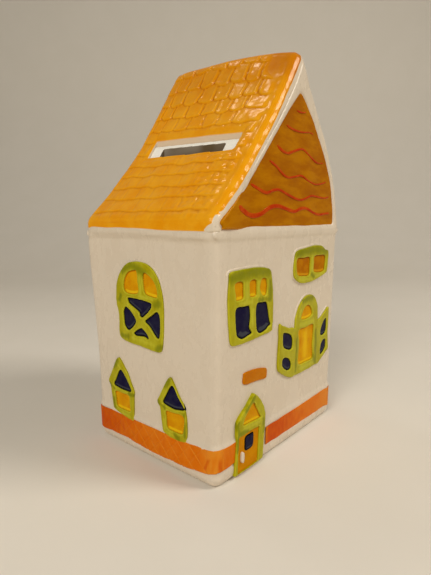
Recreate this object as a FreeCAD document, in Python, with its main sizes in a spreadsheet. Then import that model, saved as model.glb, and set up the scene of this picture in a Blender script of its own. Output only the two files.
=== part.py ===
import FreeCAD, Part
import math
import os
import Sketcher
from FreeCAD import Placement, Rotation, Vector

# A glazed earthenware house money box. The front wall with the door faces -Y, the eave wall with the
# arched window faces -X, and the coin slot lies in the -X roof slope. Millimetres, +Z up, the origin
# in the middle of the foot. On a wall, u runs to the right as seen from outside and z is the height.

SIZES = {
    # Wall sizes that the measures of the windows, door, plaque and plinth below belong to
    "drawn_width": 96.6,
    "drawn_depth": 78.4,
    "drawn_height": 100.0,
    # House: the walls lean out from the foot to the eaves
    "house_width": 96.6,
    "house_depth": 78.4,
    "eave_height": 100.0,
    "width_inset": 0.9,
    "depth_inset": 1.8,
    "wall_thickness": 5.0,
    "corner_radius": 3.2,
    "foot_radius": 3.0,
    "plinth_height": 17.4,
    "plinth_proud": 0.7,
    "plinth_edge": 0.6,
    "cornice_height": 3.0,
    "cornice_proud": 0.6,
    "seat_gap": 0.05,
    # Base plate and stopper
    "base_lift": 3.5,
    "base_thickness": 5.0,
    "hole_radius": 15.0,
    "stopper_clearance": 0.05,
    "stopper_lip": 3.5,
    "lip_thickness": 2.0,
    "plug_inside": 1.5,
    "plug_taper": 1.0,
    "stopper_wall": 2.5,
    "pull_width": 4.0,
    # Roof: hollow left slope, swelling right slope, ridge sagging towards the front
    "eave_overhang": 1.4,
    "eave_seat": 3.6,
    "right_step": 1.1,
    "nose_foot": 1.5,
    "nose_run": 2.3,
    "nose_rise": 7.2,
    "nose_bow": 0.8,
    "ridge_shift": 8.0,
    "ridge_front_rise": 74.5,
    "ridge_rear_rise": 80.5,
    "ridge_thickness": 8.5,
    "ridge_cap": 4.0,
    "ridge_cap_rise": 2.2,
    "left_hollow": 2.4,
    "right_swell": 6.5,
    "under_hollow": 0.6,
    "under_swell": 7.5,
    "verge_radius": 2.6,
    "pitch_sine": 0.8,
    "pitch_cosine": 0.6,
    # Coin slot, measured in plan
    "slot_place": 21.9,
    "slot_shift": 2.4,
    "slot_length": 37.8,
    "slot_width": 4.6,
    "recess_length": 52.5,
    "recess_width": 6.2,
    "recess_drop": 2.1,
    # Tile courses, measured up the slope
    "tile_start": 1.0,
    "tile_stop": 1.5,
    "tile_rows": 12,
    "tile_count": 7,
    "row_growth": 1.5,
    "tile_thick": 1.0,
    "tile_thin": 0.3,
    "tile_bulge": 1.6,
    "tile_corner": 2.6,
    "plain_rows": 6,
    "tile_joint": 0.6,
    "joint_share": 0.6,
    "tile_bed": 0.3,
    "front_verge": 6.5,
    "rear_verge": 3.6,
    "slot_margin": 0.4,
    # Gables
    "gable_thickness": 5.0,
    "gable_recess": 1.0,
    "gable_glaze": 0.5,
    "recess_foot": 1.5,
    "recess_rim": 2.2,
    "right_rim": 1.2,
    "recess_top": 5.5,
    "recess_hollow": 0.3,
    "recess_swell": 8.0,
    "panel_gap": 0.3,
    "panel_top": 10.2,
    "panel_swell": 6.6,
    "panel_cap": 4.4,
    "panel_cap_rise": 2.0,
    # Relief heights above the wall
    "frame_corner": 2.2,
    "shutter_corner": 1.2,
    "frame_relief": 1.0,
    "pane_relief": 0.4,
    "door_relief": 1.6,
    "leaf_relief": 1.1,
    "door_window_relief": 0.3,
    "handle_relief": 1.2,
    # Plinth band
    "band_foot": 4.5,
    "band_head": 15.0,
    "band_relief": 0.5,
    "lattice_pitch": 7.0,
    "lattice_width": 0.8,
    "lattice_depth": 0.3,
    # Arched window on the left wall
    "arched_middle": -4.6,
    "arched_width": 29.5,
    "arched_sill": 51.0,
    "arched_spring": 73.0,
    "arched_stile": 4.4,
    "arched_transom": 3.0,
    "arched_mullion": 3.6,
    "arched_foot": 3.6,
    "cross_bar_across": 2.5,
    "cross_bar_up": 1.9,
    # Pointed windows on the left wall
    "pointed_left_middle": -19.7,
    "pointed_right_middle": 13.9,
    "pointed_width": 15.6,
    "pointed_hood": 18.0,
    "pointed_sill": 15.6,
    "pointed_eaves": 29.0,
    "pointed_apex": 42.5,
    "pointed_skew": 1.2,
    "pointed_stile": 2.4,
    "pointed_foot": 3.2,
    "pointed_rail": 2.2,
    # Casement window on the front wall
    "casement_left": -40.5,
    "casement_right": -10.8,
    "casement_sill": 57.0,
    "casement_head": 86.0,
    "casement_lean": 2.2,
    "casement_stile": 4.2,
    "casement_foot": 1.8,
    "casement_lintel": 5.0,
    "top_light_height": 7.0,
    "top_light_width": 4.8,
    "top_light_gap": 3.3,
    "casement_transom": 3.0,
    "casement_mullion": 3.0,
    # Twin window on the front wall
    "twin_left": 6.0,
    "twin_right": 38.0,
    "twin_hip": 80.5,
    "twin_shoulder": 88.5,
    "twin_top_rise": 3.2,
    "twin_foot_rise": 5.0,
    "twin_stile": 3.0,
    "twin_sill": 79.2,
    "twin_head": 87.3,
    "twin_mullion": 3.2,
    # Shuttered window on the front wall
    "bay_middle": 20.2,
    "bay_width": 21.6,
    "bay_sill": 32.0,
    "bay_spring": 58.0,
    "bay_stile": 3.4,
    "bay_foot": 4.0,
    "bay_transom": 3.6,
    "bay_arch_frame": 5.0,
    "shutter_gap": 0.4,
    "shutter_left_width": 13.4,
    "shutter_right_width": 11.2,
    "shutter_foot": 31.3,
    "shutter_height": 23.0,
    "shutter_slant": 5.4,
    "shutter_stile": 2.3,
    "shutter_edge": 2.0,
    "shutter_rail": 3.2,
    # Plaque on the front wall
    "plaque_left": -30.0,
    "plaque_right": -13.6,
    "plaque_foot": 37.2,
    "plaque_height": 5.8,
    "plaque_tilt": 0.7,
    "plaque_round": 1.4,
    # Door on the front wall
    "door_left": -35.5,
    "door_right": -14.5,
    "door_foot": 0.8,
    "door_eaves": 25.0,
    "door_apex": 33.5,
    "door_jamb_left": 2.6,
    "door_jamb_right": 4.0,
    "leaf_head": 18.0,
    "door_lintel": 4.0,
    "fanlight_edge": 4.0,
    "fanlight_slope": 4.2,
    "door_window_inset": 3.2,
    "door_window_foot": 11.2,
    "door_window_height": 5.0,
    "door_window_width": 7.0,
    "handle_inset": 1.6,
    "handle_foot": 6.5,
    "handle_width": 2.2,
    "handle_height": 4.2,
}

doc = FreeCAD.newDocument("HouseMoneyBox")
sheet = doc.addObject("Spreadsheet::Sheet", "Sizes")
for row, (alias, value) in enumerate(SIZES.items(), start=1):
    sheet.set(f"A{row}", alias)
    sheet.set(f"B{row}", str(value))
    sheet.setAlias(f"B{row}", alias)
doc.recompute()


class Length:
    """A size from the sheet, or a sum of such sizes, with its number and its expression."""

    def __init__(self, number, text):
        self.number = number
        self.text = text

    def join(self, sign, other, number):
        return Length(number, f"({self.text} {sign} {as_length(other).text})")

    def __add__(self, other):
        return self.join("+", other, self.number + as_length(other).number)

    def __sub__(self, other):
        return self.join("-", other, self.number - as_length(other).number)

    def __mul__(self, other):
        return self.join("*", other, self.number * as_length(other).number)

    def __truediv__(self, other):
        return self.join("/", other, self.number / as_length(other).number)

    def __neg__(self):
        return Length(-self.number, f"(-1 * {self.text})")


def as_length(item):
    return item if isinstance(item, Length) else Length(float(item), f"{float(item)}")


def size(alias):
    return Length(float(sheet.get(alias)), f"Sizes.{alias}")


def number(alias):
    return float(sheet.get(alias))


class Bow:
    """The stretch from one corner to the next as an arc of this rise, outwards unless inward is set."""

    def __init__(self, rise, inward=False):
        self.rise = as_length(rise)
        self.side = -1 if inward else 1

    def stretched(self, share):
        return Bow(self.rise * share, self.side < 0)


class Turn:
    """The stretch from one corner to the next as an arc of this radius, outwards on such a loop."""

    def __init__(self, radius):
        self.radius = as_length(radius)


def draw_loop(sketch, corners):
    """Draw one closed loop of lines and arcs, anticlockwise, with every corner tied to the sheet."""
    spots = [Vector(corner[0].number, corner[1].number, 0) for corner in corners]
    first = sketch.GeometryCount
    count = len(corners)
    ends = []
    for index, corner in enumerate(corners):
        start = spots[index]
        end = spots[(index + 1) % count]
        bend = corner[2] if len(corner) > 2 else None
        ends.append((1, 2))
        if bend is None:
            sketch.addGeometry(Part.LineSegment(start, end), False)
            continue
        half_chord = start.distanceToPoint(end) / 2
        if isinstance(bend, Turn):
            rise = bend.radius.number - math.sqrt(bend.radius.number ** 2 - half_chord ** 2)
        else:
            rise = bend.rise.number * bend.side
        chord = end - start
        crown = (start + end) * 0.5 + Vector(chord.y, -chord.x, 0).normalize() * rise
        if rise > 0:
            sketch.addGeometry(Part.Arc(start, crown, end), False)
        else:
            sketch.addGeometry(Part.Arc(end, crown, start), False)
            ends[index] = (2, 1)
    for index, corner in enumerate(corners):
        here = first + index
        after = first + (index + 1) % count
        start_end, far_end = ends[index]
        next_start = ends[(index + 1) % count][0]
        sketch.addConstraint(Sketcher.Constraint("Coincident", here, far_end, after, next_start))
        for axis, kind in enumerate(("DistanceX", "DistanceY")):
            place = sketch.addConstraint(
                Sketcher.Constraint(kind, -1, 1, here, start_end, corner[axis].number)
            )
            sketch.setExpression(f"Constraints[{place}]", corner[axis].text)
        bend = corner[2] if len(corner) > 2 else None
        if bend is None:
            continue
        end = corners[(index + 1) % count]
        if isinstance(bend, Turn):
            radius = bend.radius
        else:
            across = end[0] - corner[0]
            up = end[1] - corner[1]
            radius = (across * across + up * up) / (bend.rise * 8) + bend.rise / 2
            if corner[1].text == end[1].text:
                upwards = bend.side if end[0].number < corner[0].number else -bend.side
                middle = corner[1] + (bend.rise - radius) * upwards
                place = sketch.addConstraint(Sketcher.Constraint("DistanceY", -1, 1, here, 3, middle.number))
                sketch.setExpression(f"Constraints[{place}]", middle.text)
                continue
        place = sketch.addConstraint(Sketcher.Constraint("Radius", here, radius.number))
        sketch.setExpression(f"Constraints[{place}]", radius.text)


def add_body(label):
    body = doc.addObject("PartDesign::Body", label)
    body.Label = label
    body.AllowCompound = True
    return body


def add_sketch(body, role, name, loops, offset=None):
    """A sketch on one of the body's own planes, moved along the plane's normal by offset."""
    plane = next(item for item in body.Origin.OriginFeatures if item.Role == role)
    sketch = body.newObject("Sketcher::SketchObject", f"{body.Name}_{name}")
    sketch.AttachmentSupport = [(plane, "")]
    sketch.MapMode = "FlatFace"
    if offset is not None:
        sketch.setExpression("AttachmentOffset.Base.z", offset.text)
    for corners in loops:
        draw_loop(sketch, corners)
    return sketch


def add_pad(body, name, sketch, length, backwards=False):
    pad = body.newObject("PartDesign::Pad", f"{body.Name}_{name}")
    pad.Profile = sketch
    pad.setExpression("Length", length.text)
    pad.Reversed = backwards
    sketch.Visibility = False
    return pad


def add_pocket(body, name, sketch, length, backwards=False):
    doc.recompute()
    before = body.Shape.Volume
    pocket = body.newObject("PartDesign::Pocket", f"{body.Name}_{name}")
    pocket.Profile = sketch
    pocket.setExpression("Length", length.text)
    pocket.Reversed = backwards
    doc.recompute()
    if body.Shape.Volume >= before:
        raise ValueError(f"{body.Name}: the pocket {name} cuts nothing")
    return pocket


def add_loft(body, kind, name, near, others):
    loft = body.newObject(f"PartDesign::{kind}", f"{body.Name}_{name}")
    loft.Profile = near
    loft.Sections = others
    loft.Ruled = True
    return loft


def rounded_rectangle(half_x, half_y, radius):
    """Corners of a rounded rectangle about the origin, anticlockwise."""
    return [
        (-half_x + radius, -half_y),
        (half_x - radius, -half_y, Turn(radius)),
        (half_x, -half_y + radius),
        (half_x, half_y - radius, Turn(radius)),
        (half_x - radius, half_y),
        (-half_x + radius, half_y, Turn(radius)),
        (-half_x, half_y - radius),
        (-half_x, -half_y + radius, Turn(radius)),
    ]


def rectangle(left, right, foot, head):
    return [(left, foot), (right, foot), (right, head), (left, head)]


half_width = size("house_width") / 2
half_depth = size("house_depth") / 2
wall_top = size("eave_height")


def wall_outline(height, grow):
    """The walls' outline at a height, moved outwards by grow; the walls lean out towards the eaves."""
    lean = (wall_top - height) / wall_top
    return rounded_rectangle(
        half_width - size("width_inset") * lean + grow,
        half_depth - size("depth_inset") * lean + grow,
        size("corner_radius") + grow,
    )


def wall_loft(body, kind, name, levels):
    """A ring of wall, as a loft through pairs of a height and a distance outside the walls."""
    rings = []
    for index, (height, grow) in enumerate(levels):
        rings.append(add_sketch(body, "XY_Plane", f"{name}_{index}", [wall_outline(height, grow)], height))
    return add_loft(body, kind, name, rings[0], rings[1:])


def quarter_round(radius, angles):
    """Steps of a rounded edge, as pairs of the distance past the end and the distance drawn in."""
    turns = [math.radians(angle) for angle in angles]
    return [(radius * (1 - math.cos(turn)), radius * (1 - math.sin(turn))) for turn in turns]


# Wall shell: four leaning walls on a rounded foot, with a plinth and a low cornice under the eaves
ground = as_length(0)
proud = size("plinth_proud")
stretch_up = wall_top / size("drawn_height")
plinth_head = size("plinth_height") * stretch_up
cornice_foot = wall_top - size("cornice_height")
walls = add_body("wall_shell")
foot_steps = quarter_round(size("foot_radius"), (0, 45, 90))
foot_levels = [(rise, proud - drawn_in) for rise, drawn_in in foot_steps]
wall_levels = [
    (plinth_head - size("plinth_edge"), proud),
    (plinth_head, ground),
    (cornice_foot, ground),
    (cornice_foot + size("cornice_proud"), size("cornice_proud")),
    (wall_top, size("cornice_proud")),
]
wall_loft(walls, "AdditiveLoft", "outside", foot_levels + wall_levels)


def inner_loft(body, kind, name, foot, head, clearance):
    """A block that fills the inside of the walls from one height to another, less a clearance all round."""
    rings = []
    for index, height in enumerate((foot, head)):
        lean = (wall_top - height) / wall_top
        half_x = half_width - size("width_inset") * lean - size("wall_thickness") - clearance
        half_y = half_depth - size("depth_inset") * lean - size("wall_thickness") - clearance
        loop = rectangle(-half_x, half_x, -half_y, half_y)
        rings.append(add_sketch(body, "XY_Plane", f"{name}_{index}", [loop], height))
    return add_loft(body, kind, name, rings[0], rings[1:])


inner_loft(walls, "SubtractiveLoft", "inside", ground, wall_top, ground)

# Base plate: the floor of the box, luted in above the foot, with the hole for the stopper
base = add_body("base_plate")
base_head_height = size("base_lift") + size("base_thickness")
inner_loft(base, "AdditiveLoft", "plate", size("base_lift"), base_head_height, size("seat_gap"))


def add_circle_sketch(body, name, radius, offset):
    sketch = add_sketch(body, "XY_Plane", name, [], offset)
    sketch.addGeometry(Part.Circle(Vector(0, 0, 0), Vector(0, 0, 1), radius.number), False)
    sketch.addConstraint(Sketcher.Constraint("Coincident", 0, 3, -1, 1))
    place = sketch.addConstraint(Sketcher.Constraint("Radius", 0, radius.number))
    sketch.setExpression(f"Constraints[{place}]", radius.text)
    return sketch


hole = add_circle_sketch(base, "hole", size("hole_radius"), base_head_height)
add_pocket(base, "hole_cut", hole, size("base_thickness"))

# Stopper: a soft moulded plug pushed up into the base, with a lip below the plate and a pull bar inside it
stopper = add_body("stopper")
plug_radius = size("hole_radius") - size("stopper_clearance")
lip_foot = size("base_lift") - size("lip_thickness") - size("seat_gap")
lip_head = size("base_lift") - size("seat_gap")
plug_head = base_head_height + size("plug_inside")
inner_radius = plug_radius - size("stopper_wall")
plug_profile = [
    (ground, plug_head - size("stopper_wall")),
    (inner_radius - size("plug_taper"), plug_head - size("stopper_wall")),
    (inner_radius, lip_foot),
    (plug_radius + size("stopper_lip"), lip_foot),
    (plug_radius + size("stopper_lip"), lip_head),
    (plug_radius, lip_head),
    (plug_radius, base_head_height),
    (plug_radius - size("plug_taper"), plug_head),
    (ground, plug_head),
]
profile = add_sketch(stopper, "XZ_Plane", "profile", [plug_profile])
spin = stopper.newObject("PartDesign::Revolution", "stopper_turned")
spin.Profile = profile
spin.ReferenceAxis = (profile, ["V_Axis"])
spin.Angle = 360
half_pull = size("pull_width") / 2
bar = add_sketch(
    stopper,
    "XY_Plane",
    "pull",
    [rectangle(-inner_radius, inner_radius, -half_pull, half_pull)],
    lip_foot,
)
add_pad(stopper, "pull_bar", bar, plug_head - lip_foot - size("stopper_wall") / 2)

# Roof: both slopes in one curved shell, lofted from the front section to the higher rear section
eave_reach = half_width + size("eave_overhang")
right_reach = eave_reach - size("right_step")
seat_edge = eave_reach - size("eave_seat")
right_seat = seat_edge - size("right_step")
ridge_place = size("ridge_shift")
full_depth = size("house_depth")


def ridge_height(depth):
    """Height of the ridge at a depth measured from the front verge."""
    sag = size("ridge_rear_rise") - size("ridge_front_rise")
    return wall_top + size("ridge_front_rise") + sag * depth / full_depth


def left_slope(depth, inset):
    """Head and foot of the hollow left slope at a depth, moved into the shell by inset."""
    head = (
        ridge_place - size("ridge_cap") + inset * size("pitch_sine"),
        ridge_height(depth) - size("ridge_cap_rise") - inset * size("pitch_cosine"),
    )
    foot = (
        -eave_reach + size("nose_run") + inset * size("pitch_sine"),
        wall_top + size("nose_rise") - inset * size("pitch_cosine"),
    )
    return head, foot


def right_slope(depth, inset):
    """Foot and head of the swelling right slope at a depth, moved into the shell by inset."""
    foot = (right_reach - inset, wall_top + size("nose_foot"))
    head = (
        ridge_place + size("ridge_cap") - inset * size("pitch_sine"),
        ridge_height(depth) - size("ridge_cap_rise") - inset * size("pitch_cosine"),
    )
    return foot, head


def roof_section(depth, inset):
    """Section through the roof shell; inset draws the outside in towards the verges."""
    left_head, left_foot = left_slope(depth, inset)
    right_foot, right_head = right_slope(depth, inset)
    cap_rise = size("ridge_cap_rise") - inset * (Length(1.0, "1") - size("pitch_cosine"))
    under_ridge = ridge_height(depth) - size("ridge_thickness")
    return [
        (-eave_reach + inset, wall_top),
        (-seat_edge, wall_top, Bow(size("under_hollow"))),
        (ridge_place, under_ridge, Bow(size("under_swell"), inward=True)),
        (right_seat, wall_top),
        (right_reach - inset, wall_top),
        (*right_foot, Bow(size("right_swell"))),
        (*right_head, Bow(cap_rise)),
        (*left_head, Bow(size("left_hollow"), inward=True)),
        (*left_foot, Bow(size("nose_bow"))),
        (-eave_reach + inset, wall_top + size("nose_foot")),
    ]


def section_sketch(body, name, corners, depth):
    """A section across the house at a depth from the front verge."""
    return add_sketch(body, "XZ_Plane", name, [corners], half_depth - depth)


roof = add_body("roof_shell")
verge = size("verge_radius")
verge_steps = quarter_round(verge, (0, 45, 90))
sections = []
for index, (set_back, drawn_in) in enumerate(verge_steps):
    sections.append(section_sketch(roof, f"front_{index}", roof_section(set_back, drawn_in), set_back))
for index, (set_back, drawn_in) in enumerate(reversed(verge_steps)):
    depth = full_depth - set_back
    sections.append(section_sketch(roof, f"rear_{index}", roof_section(depth, drawn_in), depth))
add_loft(roof, "AdditiveLoft", "slopes", sections[0], sections[1:])

slot_middle = -size("slot_place")
slot_centre = -size("slot_shift")
well_head = wall_top + size("ridge_rear_rise")
half_well = size("recess_width") / 2
half_well_length = size("recess_length") / 2
well = add_sketch(
    roof,
    "XY_Plane",
    "well",
    [
        rectangle(
            slot_middle - half_well,
            slot_middle + half_well,
            slot_centre - half_well_length,
            slot_centre + half_well_length,
        )
    ],
    well_head,
)
add_pocket(roof, "well_cut", well, well_head - wall_top)

# Coin slot surround: the white sunk floor round the slot, set into the well in the left slope
surround = add_body("slot_surround")


def sunk_section(depth):
    head, foot = left_slope(depth, ground)
    drop = size("recess_drop")
    return [
        (-seat_edge, wall_top, Bow(size("under_hollow"))),
        (ridge_place, ridge_height(depth) - size("ridge_thickness")),
        (head[0], head[1] - drop, Bow(size("left_hollow"), inward=True)),
        (foot[0], foot[1] - drop),
    ]


add_loft(
    surround,
    "AdditiveLoft",
    "sunk_slope",
    section_sketch(surround, "front", sunk_section(verge), verge),
    [section_sketch(surround, "rear", sunk_section(full_depth - verge), full_depth - verge)],
)
gap = size("seat_gap")
frame_loop = rectangle(
    slot_middle - half_well + gap,
    slot_middle + half_well - gap,
    slot_centre - half_well_length + gap,
    slot_centre + half_well_length - gap,
)
far = eave_reach + size("house_depth")
keep = add_sketch(surround, "XY_Plane", "outline", [rectangle(-far, far, -far, far), frame_loop], well_head)
add_pocket(surround, "trim", keep, well_head)
half_slot = size("slot_width") / 2
half_slot_length = size("slot_length") / 2
slot = add_sketch(
    surround,
    "XY_Plane",
    "slot",
    [
        rectangle(
            slot_middle - half_slot,
            slot_middle + half_slot,
            slot_centre - half_slot_length,
            slot_centre + half_slot_length,
        )
    ],
    well_head,
)
add_pocket(surround, "slot_cut", slot, well_head)

# Tile courses: staggered rows of round-ended tiles, thick at the lower edge and thin under the next row


def slope_arc(start, end, rise):
    """The arc of a slope in its section, from the eave up, as a curve in the x and z plane."""
    foot = Vector(start[0].number, 0, start[1].number)
    head = Vector(end[0].number, 0, end[1].number)
    chord = head - foot
    outward = Vector(-chord.z, 0, chord.x).normalize()
    if outward.z < 0:
        outward = outward * -1
    return Part.Arc(foot, (foot + head) * 0.5 + outward * rise, head)


def slope_point(front, rear, share, y):
    """A point on the ruled slope, at a share of the way up and at a place along the house."""
    y_front = verge.number - half_depth.number
    y_rear = half_depth.number - verge.number
    along = (y - y_front) / (y_rear - y_front)
    low = front.value(front.FirstParameter + share * (front.LastParameter - front.FirstParameter))
    high = rear.value(rear.FirstParameter + share * (rear.LastParameter - rear.FirstParameter))
    spot = low * (1 - along) + high * along
    return Vector(spot.x, y, spot.z)


def tile_course(length, height, ends, jointed):
    """One course lying flat: x along the row, y up the slope, z out of the roof; ends are the joints."""
    bulge = number("tile_bulge")
    joint = number("tile_joint") if jointed else 0
    joint_head = height * number("joint_share")
    outline = [Vector(length, height, 0), Vector(0, height, 0), Vector(0, bulge, 0)]
    for index, (left, right) in enumerate(zip(ends, ends[1:])):
        corner = min(number("tile_corner"), (right - left) / 3)
        start = left + (joint / 2 if index else 0)
        end = right - (joint / 2 if right < length else 0)
        outline += [Vector(start + corner, 0, 0), Vector(end - corner, 0, 0), Vector(end, bulge, 0)]
        if jointed and right < length:
            outline.append(Vector(end, joint_head, 0))
            outline.append(Vector(end + joint, joint_head, 0))
            outline.append(Vector(end + joint, bulge, 0))
    outline.append(outline[0])
    comb = Part.Face(Part.makePolygon(outline)).extrude(Vector(0, 0, number("tile_thick") * 2))
    wedge_side = [
        Vector(0, 0, 0),
        Vector(0, height, 0),
        Vector(0, height, number("tile_thin")),
        Vector(0, 0, number("tile_thick")),
        Vector(0, 0, 0),
    ]
    wedge = Part.Face(Part.makePolygon(wedge_side)).extrude(Vector(length, 0, 0))
    return comb.common(wedge)


def tile_courses(front, rear, from_rear):
    """All courses of one slope as solids; the left slope is laid from its rear end, as seen from outside."""
    rows = int(number("tile_rows"))
    slope_length = front.length()
    first = number("tile_start") / slope_length
    last = 1 - number("tile_stop") / slope_length
    weights = [1 + (number("row_growth") - 1) * row / (rows - 1) for row in range(rows)]
    y_near = number("front_verge") - half_depth.number
    y_far = half_depth.number - number("rear_verge")
    solids = []
    for row in range(rows):
        foot = first + (last - first) * sum(weights[:row]) / sum(weights)
        head = first + (last - first) * sum(weights[: row + 1]) / sum(weights)
        near = slope_point(front, rear, foot, y_near)
        far_end = slope_point(front, rear, foot, y_far)
        up = slope_point(front, rear, head, 0) - slope_point(front, rear, foot, 0)
        along = (near - far_end) if from_rear else (far_end - near)
        length = along.Length
        along.normalize()
        up = up - along * up.dot(along)
        height = up.Length
        up.normalize()
        out = along.cross(up)
        tile = length / number("tile_count")
        shift = tile / 2 if row % 2 else 0
        inner = [shift + tile * index for index in range(int(number("tile_count")) + 1)]
        ends = [0] + [place for place in inner if tile / 4 < place < length - tile / 4] + [length]
        start = (far_end if from_rear else near) + out * number("tile_bed")
        course = tile_course(length, height, ends, row >= number("plain_rows"))
        course.Placement = Placement(start, Rotation(along, up, out, "XYZ"))
        solids.append(course)
    return solids


def add_group(label, solids, place=Placement()):
    """A sub-part of several like solids."""
    group = doc.addObject("Part::Feature", label)
    group.Label = label
    group.Shape = Part.Compound(solids)
    group.Placement = place


front_arc = slope_arc(*reversed(left_slope(verge, ground)), -number("left_hollow"))
rear_arc = slope_arc(*reversed(left_slope(full_depth - verge, ground)), -number("left_hollow"))
left_courses = tile_courses(front_arc, rear_arc, True)
margin = number("slot_margin")
well_box = Part.makeBox(
    number("recess_width") + 2 * margin,
    number("recess_length") + 2 * margin,
    well_head.number,
    Vector(
        slot_middle.number - half_well.number - margin,
        slot_centre.number - half_well_length.number - margin,
        0,
    ),
)
add_group("left_tile_courses", [piece for course in left_courses for piece in course.cut(well_box).Solids])
front_arc = slope_arc(*right_slope(verge, ground), number("right_swell"))
rear_arc = slope_arc(*right_slope(full_depth - verge, ground), number("right_swell"))
right_courses = tile_courses(front_arc, rear_arc, False)
add_group("right_tile_courses", [piece for course in right_courses for piece in course.Solids])

# Gable walls: the triangles under the roof, each with a sunk field that holds the amber panel
gable_edge = seat_edge - gap
right_gable_edge = right_seat - gap


def gable_section(depth):
    apex = ridge_height(depth) - size("ridge_thickness") - gap
    return [
        (-gable_edge, wall_top),
        (right_gable_edge, wall_top, Bow(size("under_swell"))),
        (ridge_place, apex, Bow(size("under_hollow"), inward=True)),
    ]


field_foot = wall_top + size("recess_foot")
field_edge = gable_edge - size("recess_rim")
right_field_edge = right_gable_edge - size("right_rim")


def field_loop(depth):
    apex = ridge_height(depth) - size("ridge_thickness") - size("recess_top")
    return [
        (-field_edge, field_foot),
        (right_field_edge, field_foot, Bow(size("recess_swell"))),
        (ridge_place, apex, Bow(size("recess_hollow"), inward=True)),
    ]


def panel_loop(depth):
    inner = size("panel_gap")
    head = ridge_height(depth) - size("ridge_thickness") - size("panel_top") - size("panel_cap_rise")
    return [
        (-field_edge + inner + inner, field_foot + inner),
        (right_field_edge - inner - inner, field_foot + inner, Bow(size("panel_swell"))),
        (ridge_place + size("panel_cap"), head, Bow(size("panel_cap_rise"))),
        (ridge_place - size("panel_cap"), head, Bow(size("recess_hollow"), inward=True)),
    ]


def add_gable(side, outside, inside, backwards):
    """One gable wall and its panel; outside and inside are depths from the front verge."""
    gable = add_body(f"{side}_gable")
    near = section_sketch(gable, "outside", gable_section(outside), outside)
    deep = section_sketch(gable, "inside", gable_section(inside), inside)
    add_loft(gable, "AdditiveLoft", "wall", near, [deep])
    low = outside if outside.number < inside.number else inside
    field = section_sketch(gable, "field", field_loop(low), outside)
    add_pocket(gable, "field_cut", field, size("gable_recess"), backwards)
    panel = add_body(f"{side}_gable_panel")
    step = size("gable_recess") if not backwards else -size("gable_recess")
    glaze = section_sketch(panel, "glaze", panel_loop(low), outside + step)
    add_pad(panel, "glaze_coat", glaze, size("gable_glaze"), backwards)


add_gable("front", ground, size("gable_thickness"), False)
add_gable("rear", full_depth, full_depth - size("gable_thickness"), True)


class Wall:
    """A wall to raise pieces on: x to its right seen from outside, -y out of it, z up the leaning face."""

    def __init__(self, turn, reach, inset, stretch_across):
        lean = math.degrees(math.atan2(inset.number, wall_top.number))
        upright = Placement(Vector(0, inset.number - reach.number, 0), Rotation(Vector(1, 0, 0), lean))
        self.place = Placement(Vector(0, 0, 0), Rotation(Vector(0, 0, 1), turn)) * upright
        self.stretch_across = stretch_across

    def fit(self, loop):
        """Corners measured on the drawn wall, stretched with this wall."""
        fitted = []
        for across, up, *bend in loop:
            bends = [item.stretched(stretch_up) for item in bend]
            fitted.append((across * self.stretch_across, up * stretch_up, *bends))
        return fitted


FRONT = Wall(0, half_depth, size("depth_inset"), size("house_width") / size("drawn_width"))
LEFT = Wall(-90, half_width, size("width_inset"), size("house_depth") / size("drawn_depth"))


def add_relief(label, wall, loops, height, start=ground):
    """A raised piece on a wall: the loops padded outwards by height from start."""
    body = add_body(label)
    sketch = add_sketch(body, "XZ_Plane", "outline", [wall.fit(loop) for loop in loops], start)
    add_pad(body, "relief", sketch, height)
    body.Placement = wall.place
    return body


def step_over_plinth(body, wall, left, right, foot):
    """Cut the back of a piece that reaches down over the plinth."""
    block = rectangle(
        (left - 1) * wall.stretch_across,
        (right + 1) * wall.stretch_across,
        (foot - 1) * stretch_up,
        plinth_head + gap,
    )
    sketch = add_sketch(body, "XZ_Plane", "plinth_step", [block])
    add_pocket(body, "plinth_cut", sketch, size("plinth_proud") + gap, True)


def round_corners(body, wall, radius, corners):
    """Round the edges that stand out of the wall at these corners of a raised piece."""
    doc.recompute()
    base = body.Tip
    names = []
    for index, edge in enumerate(base.Shape.Edges, start=1):
        ends = [(vertex.X, vertex.Z) for vertex in edge.Vertexes]
        for spot in wall.fit(corners):
            if len(ends) == 2 and all(math.dist(end, (spot[0].number, spot[1].number)) < 0.01 for end in ends):
                names.append(f"Edge{index}")
    fillet = body.newObject("PartDesign::Fillet", f"{body.Name}_corners")
    fillet.Base = (base, names)
    fillet.setExpression("Radius", radius.text)


frame_high = size("frame_relief")
pane_high = size("pane_relief")

# Arched window on the left wall: a green frame with two quarter fanlights over four panes in a cross
arch_left = size("arched_middle") - size("arched_width") / 2
arch_right = size("arched_middle") + size("arched_width") / 2
arch_outline = [
    (arch_left, size("arched_sill")),
    (arch_right, size("arched_sill")),
    (arch_right, size("arched_spring"), Bow(size("arched_width") / 2)),
    (arch_left, size("arched_spring")),
]
glass_left = arch_left + size("arched_stile")
glass_right = arch_right - size("arched_stile")
fan_foot = size("arched_spring") + size("arched_transom") / 2
fan_head = size("arched_spring") + size("arched_width") / 2 - size("arched_stile")
fan_bow = size("arched_width") / 12
mullion_left = size("arched_middle") - size("arched_mullion") / 2
mullion_right = size("arched_middle") + size("arched_mullion") / 2
arch_fanlights = [
    [(glass_left, fan_foot), (mullion_left, fan_foot), (mullion_left, fan_head, Bow(fan_bow))],
    [(mullion_right, fan_foot), (glass_right, fan_foot, Bow(fan_bow)), (mullion_right, fan_head)],
]
cross_foot = size("arched_sill") + size("arched_foot")
cross_head = size("arched_spring") - size("arched_transom") / 2
cross_middle = (cross_foot + cross_head) / 2
bar_across = size("cross_bar_across")
bar_up = size("cross_bar_up")
arch_middle = size("arched_middle")
pane_low = cross_foot + bar_up
pane_high_end = cross_head - bar_up
pane_left = glass_left + bar_across
pane_right = glass_right - bar_across
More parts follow.
